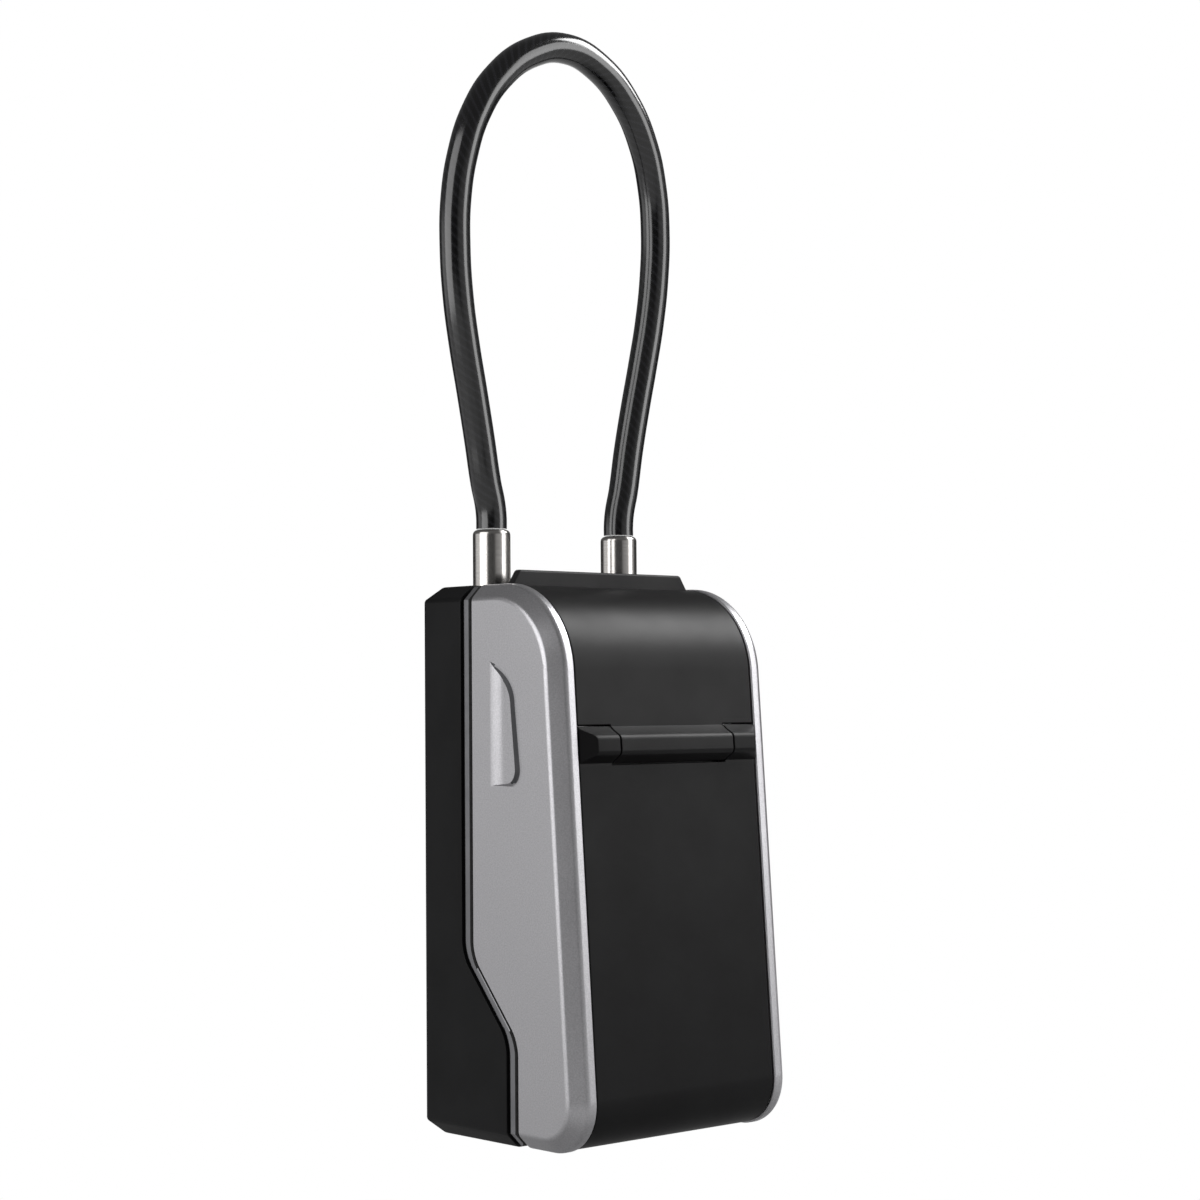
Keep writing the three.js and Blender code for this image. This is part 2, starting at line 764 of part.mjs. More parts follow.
function makeCable() {
  const section = new THREE.Shape();
  for (let i = 0; i < cableSides; i++) {
    const turn = (2 * Math.PI * i) / cableSides;
    const place = [cableRadius * Math.cos(turn), cableRadius * Math.sin(turn)];
    if (i) section.lineTo(...place);
    else section.moveTo(...place);
  }
  return new THREE.ExtrudeGeometry(section, { steps: cableSteps, extrudePath: cablePath, curveSegments: 1 });
}
addPiece("shackle_cable", makeCable(), "vinyl");
console.log(`cable: length ${cablePath.getLength().toFixed(1)} mm`);

// Frame of the lock: X across, Y into the door square to its front, Z up along the front
const lockFrame = new THREE.Group();
lockFrame.rotation.x = -frontLean;
lockFrame.position.set(0, frontAt(rowZ), rowZ);
lockFrame.updateMatrixWorld(true);
lockBox.add(lockFrame);
const leaned = (geometry) => geometry.applyMatrix4(lockFrame.matrixWorld);
const inDoor = (y, z) => new THREE.Vector3(0, y, z).applyMatrix4(lockFrame.matrixWorld);
const wheelPlaces = Array.from({ length: wheelCount }, (_, i) => (i - (wheelCount - 1) / 2) * wheelPitch);
const ridgeLocal = (ridgeHeight - rowZ) / Math.cos(frontLean);
const stemFoot = -leverDrop + leverHeight - stemHeight;

// Door casting: two cheeks and the web between them, which carries the whole lock
function makeDoorBlank() {
  const rear = rearY;
  const shape = new THREE.Shape(doorOutline(0, rear).map(([a, b]) => new THREE.Vector2(a, b)));
  const geometry = new THREE.ExtrudeGeometry(shape, {
    depth: bodyWidth - 2 * edgeBevel,
    bevelThickness: edgeBevel,
    bevelSize: edgeBevel,
    bevelOffset: -edgeBevel,
    bevelSegments: 1,
  });
  const basis = alongX.map((v) => new THREE.Vector3(...v));
  geometry.applyMatrix4(new THREE.Matrix4().makeBasis(...basis)).translate(edgeBevel - halfWidth, 0, 0);
  return solid(geometry).subtract(behindSeam(0));
}

function gripCutter(side) {
  const outline = new THREE.Shape();
  outline.moveTo(gripRear, gripTop);
  outline.bezierCurveTo(
    gripRear - gripEase, gripTop, gripFrontTop, gripTop - gripEase, gripFrontTop, gripTop - 2.4 * gripEase,
  );
  outline.lineTo(gripFrontFoot, gripFoot + gripEase);
  outline.quadraticCurveTo(gripFrontFoot, gripFoot, gripFrontFoot + gripEase, gripFoot);
  outline.lineTo(gripRear, gripFoot);
  const points = outline.getPoints(cornerSteps * 2).map((p) => [p.x, p.y]);
  const high = gripTop + 1;
  const outside = side * (halfWidth + 1);
  const surface = side * halfWidth;
  const floor = side * (halfWidth - gripDeep);
  const wedge = [[outside, gripRear + 1], [surface, gripRear], [floor, gripRear - gripRamp]];
  wedge.push([floor, gripFrontFoot - 1], [outside, gripFrontFoot - 1]);
  const inside = side * (halfWidth - cheekWall);
  const depth = solid(barX(points, Math.min(outside, inside), Math.max(outside, inside)));
  return depth.intersect(solid(barZ(wedge, gripFoot - 1, high)));
}

function makeDoorCasting() {
  const full = [-panelHalfWidth, panelHalfWidth];
  const coverEnd = footCentre.y + coverWrap + runGap;
  const pocket = cutAll(solid(block(full, [frontY - 1, rearY], [-1, bodyHeight + 1])), [
    barX(doorOutline(panelPocket, rearY + 1), -beyond, beyond),
    block([-beyond, beyond], [coverEnd, rearY + 1], [-2, bodyHeight / 2]),
  ]);
  const cavity = barX(doorOutline(doorCavity, rearY), -cavityHalfWidth, cavityHalfWidth);
  let casting = makeDoorBlank().subtract(pocket).subtract(solid(cavity));
  const plateFront = seamTopY - backPlateInset - backPlateThickness;
  const posts = [];
  const pilots = [];
  bothSides.forEach((side) => {
    [bodyHeight - postHigh, postLow].forEach((z) => {
      const depth = z > topCentre.z
        ? topCentre.y - Math.sqrt((topRadius - doorCavity) ** 2 - (z - topCentre.z) ** 2)
        : frontAt(z, doorCavity);
      posts.push(rodY([side * postPlace, z], [depth - 1, plateFront - fitGap], postRadius, smallSides));
      pilots.push(rodY([side * postPlace, z], [plateFront - screwLength - 1, plateFront], screwRadius + fitGap,
        smallSides));
    });
  });
  const ledges = bothSides.map((side) => {
    const x = span(side, latchSpringPlace - latchSpringRadius - 1, cavityHalfWidth + 1);
    return block(x, [springY - lugDepth / 2, springY + lugDepth / 2], [ledgeTop - ledgeHeight, ledgeTop]);
  });
  const knuckles = bothSides.flatMap((side) => {
    const x = span(side, hingeKnuckleInner, hingeKnuckleOuter);
    const z = [hinge.z - hingeKnuckleRadius, hinge.z + hingeKnuckleRadius];
    return [rodX([hinge.y, hinge.z], x, hingeKnuckleRadius), block(x, [seamFootY - 1, hinge.y], z)];
  });
  casting = joinAll(casting, [...posts, ...ledges, ...knuckles]);
  const windows = wheelPlaces.map((x) => {
    const half = wheelWidth / 2 + windowSideGap;
    return leaned(block([x - half, x + half], [panelPocket - 1, doorCavity + 1], [-windowHalfHeight, windowHalfHeight]));
  });
  const slot = leaned(block(
    [-stemHalfWidth - runGap, stemHalfWidth + runGap],
    [panelPocket - 1, doorCavity + 1],
    [stemFoot - runGap, stemFoot + stemHeight + latchTravel + runGap],
  ));
  const earRelief = bothSides.map((side) => {
    const x = span(side, knuckleHalfWidth, panelHalfWidth);
    const reach = ridgeHalf + 2 * runGap;
    return leaned(block(x, [0, panelPocket + 2 * runGap], [ridgeLocal - reach, ridgeLocal + reach]));
  });
  const pinHole = rodX([hinge.y, hinge.z], [-beyond, beyond], hingePinRadius + fitGap);
  casting = cutAll(casting, [...pilots, ...windows, slot, ...earRelief, pinHole]);
  bothSides.forEach((side) => {
    casting = casting.subtract(gripCutter(side));
  });
  return casting;
}

addPiece("door_casting", makeDoorCasting(), "silverPaint");

// Upper panel with the fixed knuckle of the dial cover's hinge and the pull lip
function ridgeOutline(foot) {
  return [
    [panelRecess, ridgeLocal + ridgeHalf],
    [-ridgeShoulderReach, ridgeLocal + ridgeShoulderHalf],
    [-ridgeReach, ridgeLocal + ridgeFaceTop],
    [-ridgeReach, ridgeLocal - ridgeFaceFoot],
    [panelRecess, ridgeLocal - ridgeHalf],
    [panelRecess, ridgeLocal + foot],
    [panelRecess + panelThickness, ridgeLocal + foot],
    [panelRecess + panelThickness, ridgeLocal + ridgeShoulderHalf],
  ];
}

function panelShell(halfSpan) {
  const rear = seamTopY - fitGap;
  const outer = solid(barX(doorOutline(panelRecess, rear), -halfSpan, halfSpan));
  const inner = barX(doorOutline(panelRecess + panelThickness, rear + 1), -halfSpan - 1, halfSpan + 1);
  return cutAll(outer, [inner]);
}

const panelSpan = panelHalfWidth - fitGap;
const ridgeBack = panelRecess + panelThickness;

function makeTopPanel() {
  const high = ridgeLocal + ridgeHalf + runGap;
  const below = leaned(block([-beyond, beyond], [-beyond, beyond], [-2 * beyond, high]));
  const knuckleTop = leaned(barX([[panelRecess, high + 1], [panelRecess, high - 2], [ridgeBack, high - 2],
    [ridgeBack, high + 1]], -knuckleHalfWidth, knuckleHalfWidth));
  const shell = cutAll(panelShell(panelSpan), [below]);
  const ridge = leaned(barX(ridgeOutline(-ridgeHalf + 1), -knuckleHalfWidth, knuckleHalfWidth));
  const boss = leaned(rodX([0, ridgeLocal], [-knuckleHalfWidth, knuckleHalfWidth], knuckleBack));
  const lipY = rearY - lipSetback;
  const lipTop = bodyHeight + lipHeight;
  const lip = barY([[-panelSpan, bodyHeight - 1.5], [panelSpan, bodyHeight - 1.5], [panelSpan, bodyHeight],
    [panelSpan - lipSlant, lipTop], [-panelSpan + lipSlant, lipTop], [-panelSpan, bodyHeight]],
  lipY, lipY + lipThickness);
  const ribs = bothSides.map((side) => {
    const x = span(side, panelRibPlace - panelRibThickness / 2, panelRibPlace + panelRibThickness / 2);
    const rear = seamTopY - containerWall;
    const outline = solid(barX(doorOutline(ridgeBack - 0.5, rear), ...x));
    return cutAll(outline, [
      barX(doorOutline(panelPocket - fitGap, rear + 1), -beyond, beyond),
      block([-beyond, beyond], [-beyond, beyond], [-1, ridgeHeight + 2 * ridgeHalf]),
    ]);
  });
  const pinHole = leaned(rodX([0, ridgeLocal], [-beyond, beyond], coverPinRadius + fitGap));
  let panel = joinAll(shell, [knuckleTop, ridge, boss, lip]);
  ribs.forEach((rib) => {
    panel = panel.add(rib);
  });
  return cutAll(panel, [pinHole]);
}

// Dial cover: ears on the hinge pin, flat front, and a foot that wraps under the door
function makeDialCover() {
  const earInnerX = knuckleHalfWidth + runGap;
  const end = footCentre.y + coverWrap;
  const plateTop = ridgeLocal - ridgeHalf - runGap;
  const keep = block([-beyond, beyond], [frontY - beyond, end], [-beyond, bodyHeight]);
  const above = leaned(block([-beyond, beyond], [-beyond, beyond], [plateTop, 2 * beyond]));
  let cover = cutAll(panelShell(panelSpan).intersect(solid(keep)), [above]);
  bothSides.forEach((side) => {
    const x = span(side, earInnerX, panelSpan);
    const ear = solid(leaned(barX(ridgeOutline(-ridgeHalf - 2), ...x)));
    const boss = solid(leaned(rodX([0, ridgeLocal], x, knuckleBack)));
    const start = side * (panelSpan - ridgeEndSlant);
    const tip = side * (panelSpan + 0.2);
    const slant = [[start, -ridgeReach - 0.01], [tip, 0], [tip, -ridgeReach - 1], [start, -ridgeReach - 1]];
    const endCut = leaned(barZ(slant, ridgeLocal - 2 * ridgeHalf, ridgeLocal + ridgeFaceTop + 0.5));
    cover = cover.add(cutAll(ear.add(boss), [endCut]));
  });
  const pinHole = leaned(rodX([0, ridgeLocal], [-beyond, beyond], coverPinRadius + fitGap));
  return cutAll(cover, [pinHole]);
}

addPiece("top_panel", makeTopPanel(), "blackMoulding");
addPiece("dial_cover", makeDialCover(), "blackMoulding");
const coverPinHalf = panelSpan - coverPinEnd;
addPiece("cover_hinge_pin", rodX([0, ridgeLocal], [-coverPinHalf, coverPinHalf], coverPinRadius), "steel", lockFrame);

// Back plate of the door, with its screws
const latchWindowFoot = bodyHeight - strikeWindowFoot;
const hookFoot = latchWindowFoot + hookRise;

function makeBackPlate() {
  const low = doorLift + doorCavity + fitGap;
  const high = bodyHeight - doorCavity - fitGap;
  const clip = (line) => line.map(([y, z]) => [y, Math.min(Math.max(z, low), high)]);
  const rear = clip(seamLine(-backPlateInset));
  const front = clip(seamLine(-backPlateInset - backPlateThickness)).reverse();
  const half = cavityHalfWidth - fitGap;
  const plate = solid(barX([...rear, ...front], -half, half));
  const holes = bothSides.flatMap((side) => [bodyHeight - postHigh, postLow].map((z) => {
    return rodY([side * postPlace, z], [0, rearY], screwRadius + fitGap, smallSides);
  }));
  const windows = bothSides.map((side) => {
    const x = span(side, hookInner - 2 * runGap, hookOuter + 2 * runGap);
    return block(x, [0, rearY], [latchWindowFoot, hookFoot + hookHeight + latchTravel + 2 * runGap]);
  });
  const shaftHole = rodY([changePlace, rowZ - changeDrop], [0, rearY], changeShaftRadius + fitGap, smallSides);
  return cutAll(plate, [...holes, ...windows, shaftHole]);
}

addPiece("door_back_plate", makeBackPlate(), "blackMoulding");
const plateRear = seamTopY - backPlateInset;
bothSides.forEach((side) => {
  [["upper", bodyHeight - postHigh], ["lower", postLow]].forEach(([place, z]) => {
    const name = `back_plate_screw_${place}_${side < 0 ? "left" : "right"}`;
    const screw = addPiece(name, screwGeometry(screwLength), "steel");
    screw.rotation.z = Math.PI;
    screw.position.set(side * postPlace, plateRear + fitGap, z);
  });
});

function makeChangeLever() {
  const rear = plateRear + fitGap;
  const z = rowZ - changeDrop;
  const hub = solid(rodY([changePlace, z], [rear, rear + changeThickness], changeHubRadius));
  const shaftEnd = inDoor(wheelY + wheelRadius, -changeDrop).y + runGap;
  const shaft = rodY([changePlace, z], [shaftEnd, rear + 1], changeShaftRadius, smallSides);
  const arm = block(
    [changePlace - changeArmLength, changePlace],
    [rear, rear + changeThickness],
    [z - changeHubRadius / 2, z + changeHubRadius / 2],
  );
  const tip = block(
    [changePlace - changeArmLength, changePlace - changeArmLength + changeThickness],
    [rear, rear + 2 * changeThickness],
    [z - changeHubRadius / 2, z + changeHubRadius / 2],
  );
  return joinAll(hub, [shaft, arm, tip]);
}
addPiece("change_lever", makeChangeLever(), "blackMoulding");

// Number wheels on their cams, and the axle that carries them
function wheelOutline() {
  const points = [];
  const step = (2 * Math.PI) / digits;
  const flat = step * 0.39;
  for (let i = 0; i < digits; i++) {
    const middle = Math.PI + i * step;
    [[-flat, 0], [flat, 0], [step / 2, wheelGroove]].forEach(([turn, sink]) => {
      const radius = wheelRadius - sink;
      points.push([radius * Math.cos(middle + turn), radius * Math.sin(middle + turn)]);
    });
  }
  return points;
}

const halfKey = keyWidth / 2;
function makeWheel() {
  const half = wheelWidth / 2;
  const ring = solid(barX(wheelOutline(), -half, half));
  return cutAll(ring, [
    rodX([0, 0], [-half - 1, half + 1], hubRadius + fitGap),
    block([-half - 1, half + 1], [0, hubRadius + keyHeight + fitGap], [-halfKey - fitGap, halfKey + fitGap]),
  ]);
}

function makeCam() {
  const half = wheelWidth / 2;
  const flangeStart = half + fitGap;
  const end = flangeStart + flangeWidth;
  const hub = solid(rodX([0, 0], [-half, end], hubRadius));
  const cam = joinAll(hub, [
    rodX([0, 0], [flangeStart, end], flangeRadius),
    block([-half, half], [hubRadius / 2, hubRadius + keyHeight], [-halfKey, halfKey]),
  ]);
  return cutAll(cam, [
    rodX([0, 0], [-half - 1, end + 1], axleRadius + fitGap, smallSides),
    block([flangeStart - 0.1, end + 1], [-gateWidth / 2, gateWidth / 2], [flangeRadius - gateDepth, flangeRadius + 1]),
  ]);
}

wheelPlaces.forEach((x, i) => {
  const wheel = new THREE.Group();
  wheel.position.set(x, wheelY, 0);
  lockFrame.add(wheel);
  addPiece(`number_wheel_${i + 1}`, makeWheel(), "whiteNumber", wheel);
  addPiece(`wheel_cam_${i + 1}`, makeCam(), "zinc", wheel);
});

const earOuter = earInner + earThickness;
addPiece("wheel_axle", rodX([wheelY, 0], [-earOuter - 1, earOuter + 1], axleRadius, smallSides), "steel", lockFrame);

function makeSpacer() {
  const x = [-earInner + fitGap, wheelPlaces[0] - wheelWidth / 2 - fitGap];
  return cutAll(solid(rodX([wheelY, 0], x, axleRadius + fitGap + spacerWall, smallSides)), [
    rodX([wheelY, 0], [x[0] - 1, x[1] + 1], axleRadius + fitGap, smallSides),
  ]);
}
addPiece("axle_spacer", makeSpacer(), "zinc", lockFrame);

// Carrier that holds the axle behind the web
const carrierFront = doorCavity + fitGap;
const fenceFoot = wheelRadius + runGap;
const bridgeFoot = fenceFoot + fenceHeight + fitGap;
const detentTop = -wheelRadius - runGap;
const lowerBridgeTop = detentTop - detentBaseHeight - fitGap;
const earFoot = lowerBridgeTop - lowerBridgeThickness;
const earRear = wheelY + axleRadius + fitGap + earRearWall;

function makeCarrier() {
  const ears = bothSides.map((side) => {
    return block(span(side, earInner, earOuter), [carrierFront, earRear], [earFoot, bridgeFoot + bridgeThickness]);
  });
  const across = [-earInner - 1, earInner + 1];
  const carrier = joinAll(solid(ears[0]), [
    ears[1],
    block(across, [wheelY - fenceDepth - 1, earRear], [bridgeFoot, bridgeFoot + bridgeThickness]),
    block(across, [carrierFront, carrierFront + detentBaseDepth + 1], [earFoot, lowerBridgeTop]),
  ]);
  return cutAll(carrier, [rodX([wheelY, 0], [-beyond, beyond], axleRadius + fitGap, smallSides)]);
}
addPiece("wheel_carrier", makeCarrier(), "zinc", lockFrame);

function makeFence() {
  const half = earInner - fitGap;
  const depth = [wheelY - fenceDepth / 2, wheelY + fenceDepth / 2];
  const beam = solid(block([-half, half], depth, [fenceFoot, fenceFoot + fenceHeight]));
  const teeth = wheelPlaces.map((x) => {
    const middle = x + wheelWidth / 2 + fitGap + flangeWidth / 2;
    const tooth = [middle - fenceToothWidth / 2, middle + fenceToothWidth / 2];
    return block(tooth, [wheelY - gateWidth / 2 + runGap, wheelY + gateWidth / 2 - runGap],
      [flangeRadius + fitGap, fenceFoot + 1]);
  });
  return joinAll(beam, teeth);
}
addPiece("fence_bar", makeFence(), "steel", lockFrame);

function makeDetent() {
  const half = earInner - fitGap;
  const front = carrierFront;
  const base = solid(block([-half, half], [front, front + detentBaseDepth], [detentTop - detentBaseHeight, detentTop]));
  const fingers = wheelPlaces.map((x) => {
    const width = [x - detentFingerWidth / 2, x + detentFingerWidth / 2];
    return block(width, [front + 1, front + detentReach], [detentTop - detentThickness, detentTop]);
  });
  return joinAll(base, fingers);
}
addPiece("detent_spring", makeDetent(), "springSteel", lockFrame);

function makeBezel() {
  const rear = panelPocket - fitGap;
  const plate = solid(block(
    [-bezelHalfWidth, bezelHalfWidth],
    [rear - bezelThickness, rear],
    [-bezelHalfHeight, bezelHalfHeight],
  ));
  return cutAll(plate, wheelPlaces.map((x) => {
    const half = wheelWidth / 2 + windowSideGap;
    return block([x - half, x + half], [0, panelPocket], [-bezelWindowHalf, bezelWindowHalf]);
  }));
}
addPiece("dial_bezel", makeBezel(), "steel", lockFrame);

// Release lever on the front, and the latch bar that it draws down
function makeReleaseLever() {
  const foot = -leverDrop;
  const top = foot + leverHeight;
  const rear = panelPocket - fitGap;
  const front = rear - leverThickness;
  const ribs = 5;
  const outline = [[rear, top], [rear, foot], [front + leverRib, foot]];
  const step = (leverHeight - 2) / ribs;
  for (let i = 0; i < ribs; i++) {
    const low = foot + 1 + step * i;
    outline.push([front + leverRib, low], [front, low + step * 0.2], [front, low + step * 0.6]);
    outline.push([front + leverRib, low + step * 0.8]);
  }
  outline.push([front + leverRib, top]);
  const knob = solid(barX(outline, -leverHalfWidth, leverHalfWidth));
  const stem = block([-stemHalfWidth, stemHalfWidth], [rear - 0.5, stemDepth], [stemFoot, stemFoot + stemHeight]);
  return joinAll(knob, [stem]);
}
addPiece("release_lever", makeReleaseLever(), "blackMoulding", lockFrame);

function makeLatchBar() {
  const stemEnd = inDoor(stemDepth + fitGap, stemFoot + stemHeight / 2);
  const tongue = [stemEnd.z - stemHeight / 2, stemEnd.z + stemHeight / 2];
  const depth = [latchFront, latchRear];
  const half = latchPlateHalfWidth;
  const plate = solid(block([-half, half], depth, [tongue[0], hookFoot + hookArmHeight]));
  const hookRear = recessY + hookReach;
  const hooks = bothSides.flatMap((side) => {
    const x = span(side, hookInner, hookOuter);
    return [
      block(x, [latchFront, hookRear], [hookFoot, hookFoot + hookArmHeight]),
      block(x, [hookRear - hookThickness, hookRear], [hookFoot, hookFoot + hookHeight]),
    ];
  });
  const crossbar = [crossbarZ, crossbarZ + crossbarHeight];
  const lugs = bothSides.map((side) => {
    const x = span(side, latchSpringPlace - latchSpringRadius - 0.5, crossbarHalfWidth);
    return block(x, [latchRear - lugDepth, latchRear], crossbar);
  });
  return joinAll(plate, [
    block([-tongueHalfWidth, tongueHalfWidth], [stemEnd.y + fitGap, latchRear], tongue),
    block([-crossbarHalfWidth, crossbarHalfWidth], depth, crossbar),
    ...hooks,
    ...lugs,
  ]);
}
addPiece("latch_bar", makeLatchBar(), "steel");

bothSides.forEach((side) => {
  const name = side < 0 ? "latch_spring_left" : "latch_spring_right";
  const spring = addPiece(
    name,
    springGeometry(name.replaceAll("_", " "), latchSpringRadius, latchSpringWire, latchSpringLength - fitGap,
      latchSpringCurls),
    "springSteel",
  );
  spring.position.set(side * latchSpringPlace, springY, ledgeTop + fitGap);
});

export default lockBox;
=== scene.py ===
import logging
import math
from collections.abc import Callable, Iterator, Sequence
from contextlib import contextmanager
from dataclasses import dataclass
from enum import Enum

import bmesh
import bpy
from mathutils import Matrix, Vector


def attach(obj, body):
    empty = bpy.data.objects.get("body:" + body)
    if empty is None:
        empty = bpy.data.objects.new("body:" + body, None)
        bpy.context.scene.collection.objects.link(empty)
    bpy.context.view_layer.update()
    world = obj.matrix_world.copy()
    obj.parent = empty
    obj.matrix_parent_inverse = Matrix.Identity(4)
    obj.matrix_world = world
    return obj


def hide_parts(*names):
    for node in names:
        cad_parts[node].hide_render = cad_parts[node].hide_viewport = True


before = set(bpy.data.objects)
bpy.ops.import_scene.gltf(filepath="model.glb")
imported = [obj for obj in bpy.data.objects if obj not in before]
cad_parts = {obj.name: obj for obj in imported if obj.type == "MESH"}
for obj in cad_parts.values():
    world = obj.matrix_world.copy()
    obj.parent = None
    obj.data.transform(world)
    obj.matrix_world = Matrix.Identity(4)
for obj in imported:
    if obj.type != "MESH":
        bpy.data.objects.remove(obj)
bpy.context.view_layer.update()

log = logging.getLogger("lock_box")
MM = 0.001
LEAN = math.radians(3.95)
SIDES = (-1, 1)
ROD_FACES = 48
TURNED_FACES = 64
WHITE = (1.0, 1.0, 1.0, 1.0)

Pair = tuple[float, float]
Triple = tuple[float, float, float]
Piece = bpy.types.Object
Material = bpy.types.Material
Tree = bpy.types.NodeTree
Socket = bpy.types.NodeSocket
Inputs = dict[str | int, object]
Edge = bmesh.types.BMEdge
Face = bpy.types.MeshPolygon
Test = Callable[[Edge], bool]
AnyTest = Test | Callable[[bmesh.types.BMVert], bool] | Callable[[bmesh.types.BMFace], bool]


class Axis(Enum):
    """The axis that a bar of one outline runs along, with the order of its outline's numbers."""

    ACROSS = (1, 2, 0)
    DEEP = (0, 2, 1)
    UPRIGHT = (0, 1, 2)


class Cut(Enum):
    """What a tool does to a piece."""

    AWAY = "DIFFERENCE"
    KEEP = "INTERSECT"
    JOIN = "UNION"


class Kind(Enum):
    """What is picked in edit mode."""

    VERTS = "VERT"
    EDGES = "EDGE"
    FACES = "FACE"


# Bench: work on one piece at a time


def clear_bench() -> None:
    """Leaves edit mode and deselects everything."""
    if bpy.context.object is not None and bpy.context.object.mode != "OBJECT":
        bpy.ops.object.mode_set(mode="OBJECT")
    bpy.ops.object.select_all(action="DESELECT")


def activate(piece: Piece) -> None:
    """Deselects everything and makes one piece active.

    Args:
        piece: The object to work on.
    """
    clear_bench()
    piece.select_set(True)
    bpy.context.view_layer.objects.active = piece


@contextmanager
def editing(piece: Piece, kind: Kind) -> Iterator[None]:
    """Opens a piece in edit mode with nothing selected, and closes it again.

    Args:
        piece: The mesh object to edit.
        kind: The select mode.
    """
    activate(piece)
    bpy.ops.object.mode_set(mode="EDIT")
    bpy.ops.mesh.select_mode(type=kind.value)
    bpy.ops.mesh.select_all(action="DESELECT")
    yield
    bpy.ops.object.mode_set(mode="OBJECT")


def pick(piece: Piece, kind: Kind, test: AnyTest) -> int:
    """Selects the vertices, edges or faces that pass a test, and nothing else.

    Args:
        piece: The mesh object in edit mode.
        kind: What to select.
        test: Says whether one of them is wanted.

    Returns:
        How many were selected.
    """
    bpy.ops.mesh.select_all(action="DESELECT")
    shape = bmesh.from_edit_mesh(piece.data)
    parts = {Kind.VERTS: shape.verts, Kind.EDGES: shape.edges, Kind.FACES: shape.faces}[kind]
    found = [part for part in parts if test(part)]
    for part in found:
        part.select_set(True)
    shape.select_flush_mode()
    bmesh.update_edit_mesh(piece.data)
    return len(found)


def weld(distance: float) -> None:
    """Selects all of the piece in edit mode and merges corners nearer than a distance in metres."""
    bpy.ops.mesh.select_all(action="SELECT")
    bpy.ops.mesh.remove_doubles(threshold=distance)


def face_outward() -> None:
    """Selects all of the piece in edit mode and turns its faces outwards."""
    bpy.ops.mesh.select_all(action="SELECT")
    bpy.ops.mesh.normals_make_consistent(inside=False)


def middle(edge: Edge) -> Vector:
    """Returns the middle of an edge in millimetres."""
    return (edge.verts[0].co + edge.verts[1].co) / (2 * MM)


def across(edge: Edge) -> float:
    """Returns how much of an edge's direction lies across the box, from 0 to 1."""
    return abs((edge.verts[1].co - edge.verts[0].co).normalized().x)


def turn_at(edge: Edge) -> float:
    """Returns the angle in degrees by which the surface turns at an edge."""
    if len(edge.link_faces) != 2:
        return 0.0
    return math.degrees(edge.calc_face_angle(0.0))


def bevel(piece: Piece, test: Test, width: float, segments: int = 3) -> None:
    """Rounds the edges that pass a test.

    Args:
        piece: The mesh object.
        test: Says whether an edge is wanted.
        width: Distance in millimetres from the old edge to the new ones.
        segments: Number of steps; 1 gives a flat chamfer.
    """
    with editing(piece, Kind.EDGES):
        if pick(piece, Kind.EDGES, test):
            bpy.ops.mesh.bevel(
                offset_type="OFFSET", offset=width * MM, segments=segments, profile=0.5, affect="EDGES"
            )
            weld(0.00001)


def settle(piece: Piece) -> None:
    """Moves an object's place, turn and size into its mesh."""
    activate(piece)
    bpy.ops.object.transform_apply(location=True, rotation=True, scale=True)


def added(name: str) -> Piece:
    """Names the primitive that was just added and settles it.

    Args:
        name: Name of the new object.

    Returns:
        The object.
    """
    piece = bpy.context.object
    piece.name = piece.data.name = name
    settle(piece)
    return piece


def in_space(axis: Axis, u: float, v: float, w: float) -> Vector:
    """Turns a place of a bar's outline into a place in space.

    Args:
        axis: The axis that the bar runs along.
        u: First number of the outline, in millimetres.
        v: Second number of the outline.
        w: Place along the axis.

    Returns:
        The place in metres.
    """
    spot = Vector()
    first, second, third = axis.value
    spot[first], spot[second], spot[third] = u * MM, v * MM, w * MM
    return spot


def bar(name: str, outline: Sequence[Pair], ends: Pair, axis: Axis) -> Piece:
    """Makes a straight bar: a flat round is drawn to the outline and then extruded.

    Args:
        name: Name of the new object.
        outline: Corners in millimetres, as [y, z], [x, z] or [x, y] for the three axes.
        ends: Where the bar starts and stops along the axis, in millimetres.
        axis: The axis that the bar runs along.

    Returns:
        The closed bar.
    """
    clear_bench()
    bpy.ops.mesh.primitive_circle_add(vertices=len(outline), radius=MM, fill_type="NGON")
    piece = added(name)
    with editing(piece, Kind.VERTS):
        for i, (u, v) in enumerate(outline):
            pick(piece, Kind.VERTS, lambda corner, place=i: corner.index == place)
            corners = bmesh.from_edit_mesh(piece.data).verts
            corners.ensure_lookup_table()
            bpy.ops.transform.translate(value=in_space(axis, u, v, ends[0]) - corners[i].co)
        bpy.ops.mesh.select_all(action="SELECT")
        length = in_space(axis, 0, 0, ends[1] - ends[0])
        bpy.ops.mesh.extrude_region_move(TRANSFORM_OT_translate={"value": tuple(length)})
        face_outward()
    return piece


def block(name: str, x: Pair, y: Pair, z: Pair) -> Piece:
    """Makes a plain block.

    Args:
        name: Name of the new object.
        x: Where it starts and stops across the box, in millimetres.
        y: Where it starts and stops in depth.
        z: Where it starts and stops in height.

    Returns:
        The closed block.
    """
    clear_bench()
    centre = [(a + b) / 2 * MM for a, b in (x, y, z)]
    size = [abs(b - a) * MM for a, b in (x, y, z)]
    bpy.ops.mesh.primitive_cube_add(size=1, location=centre, scale=size)
    return added(name)


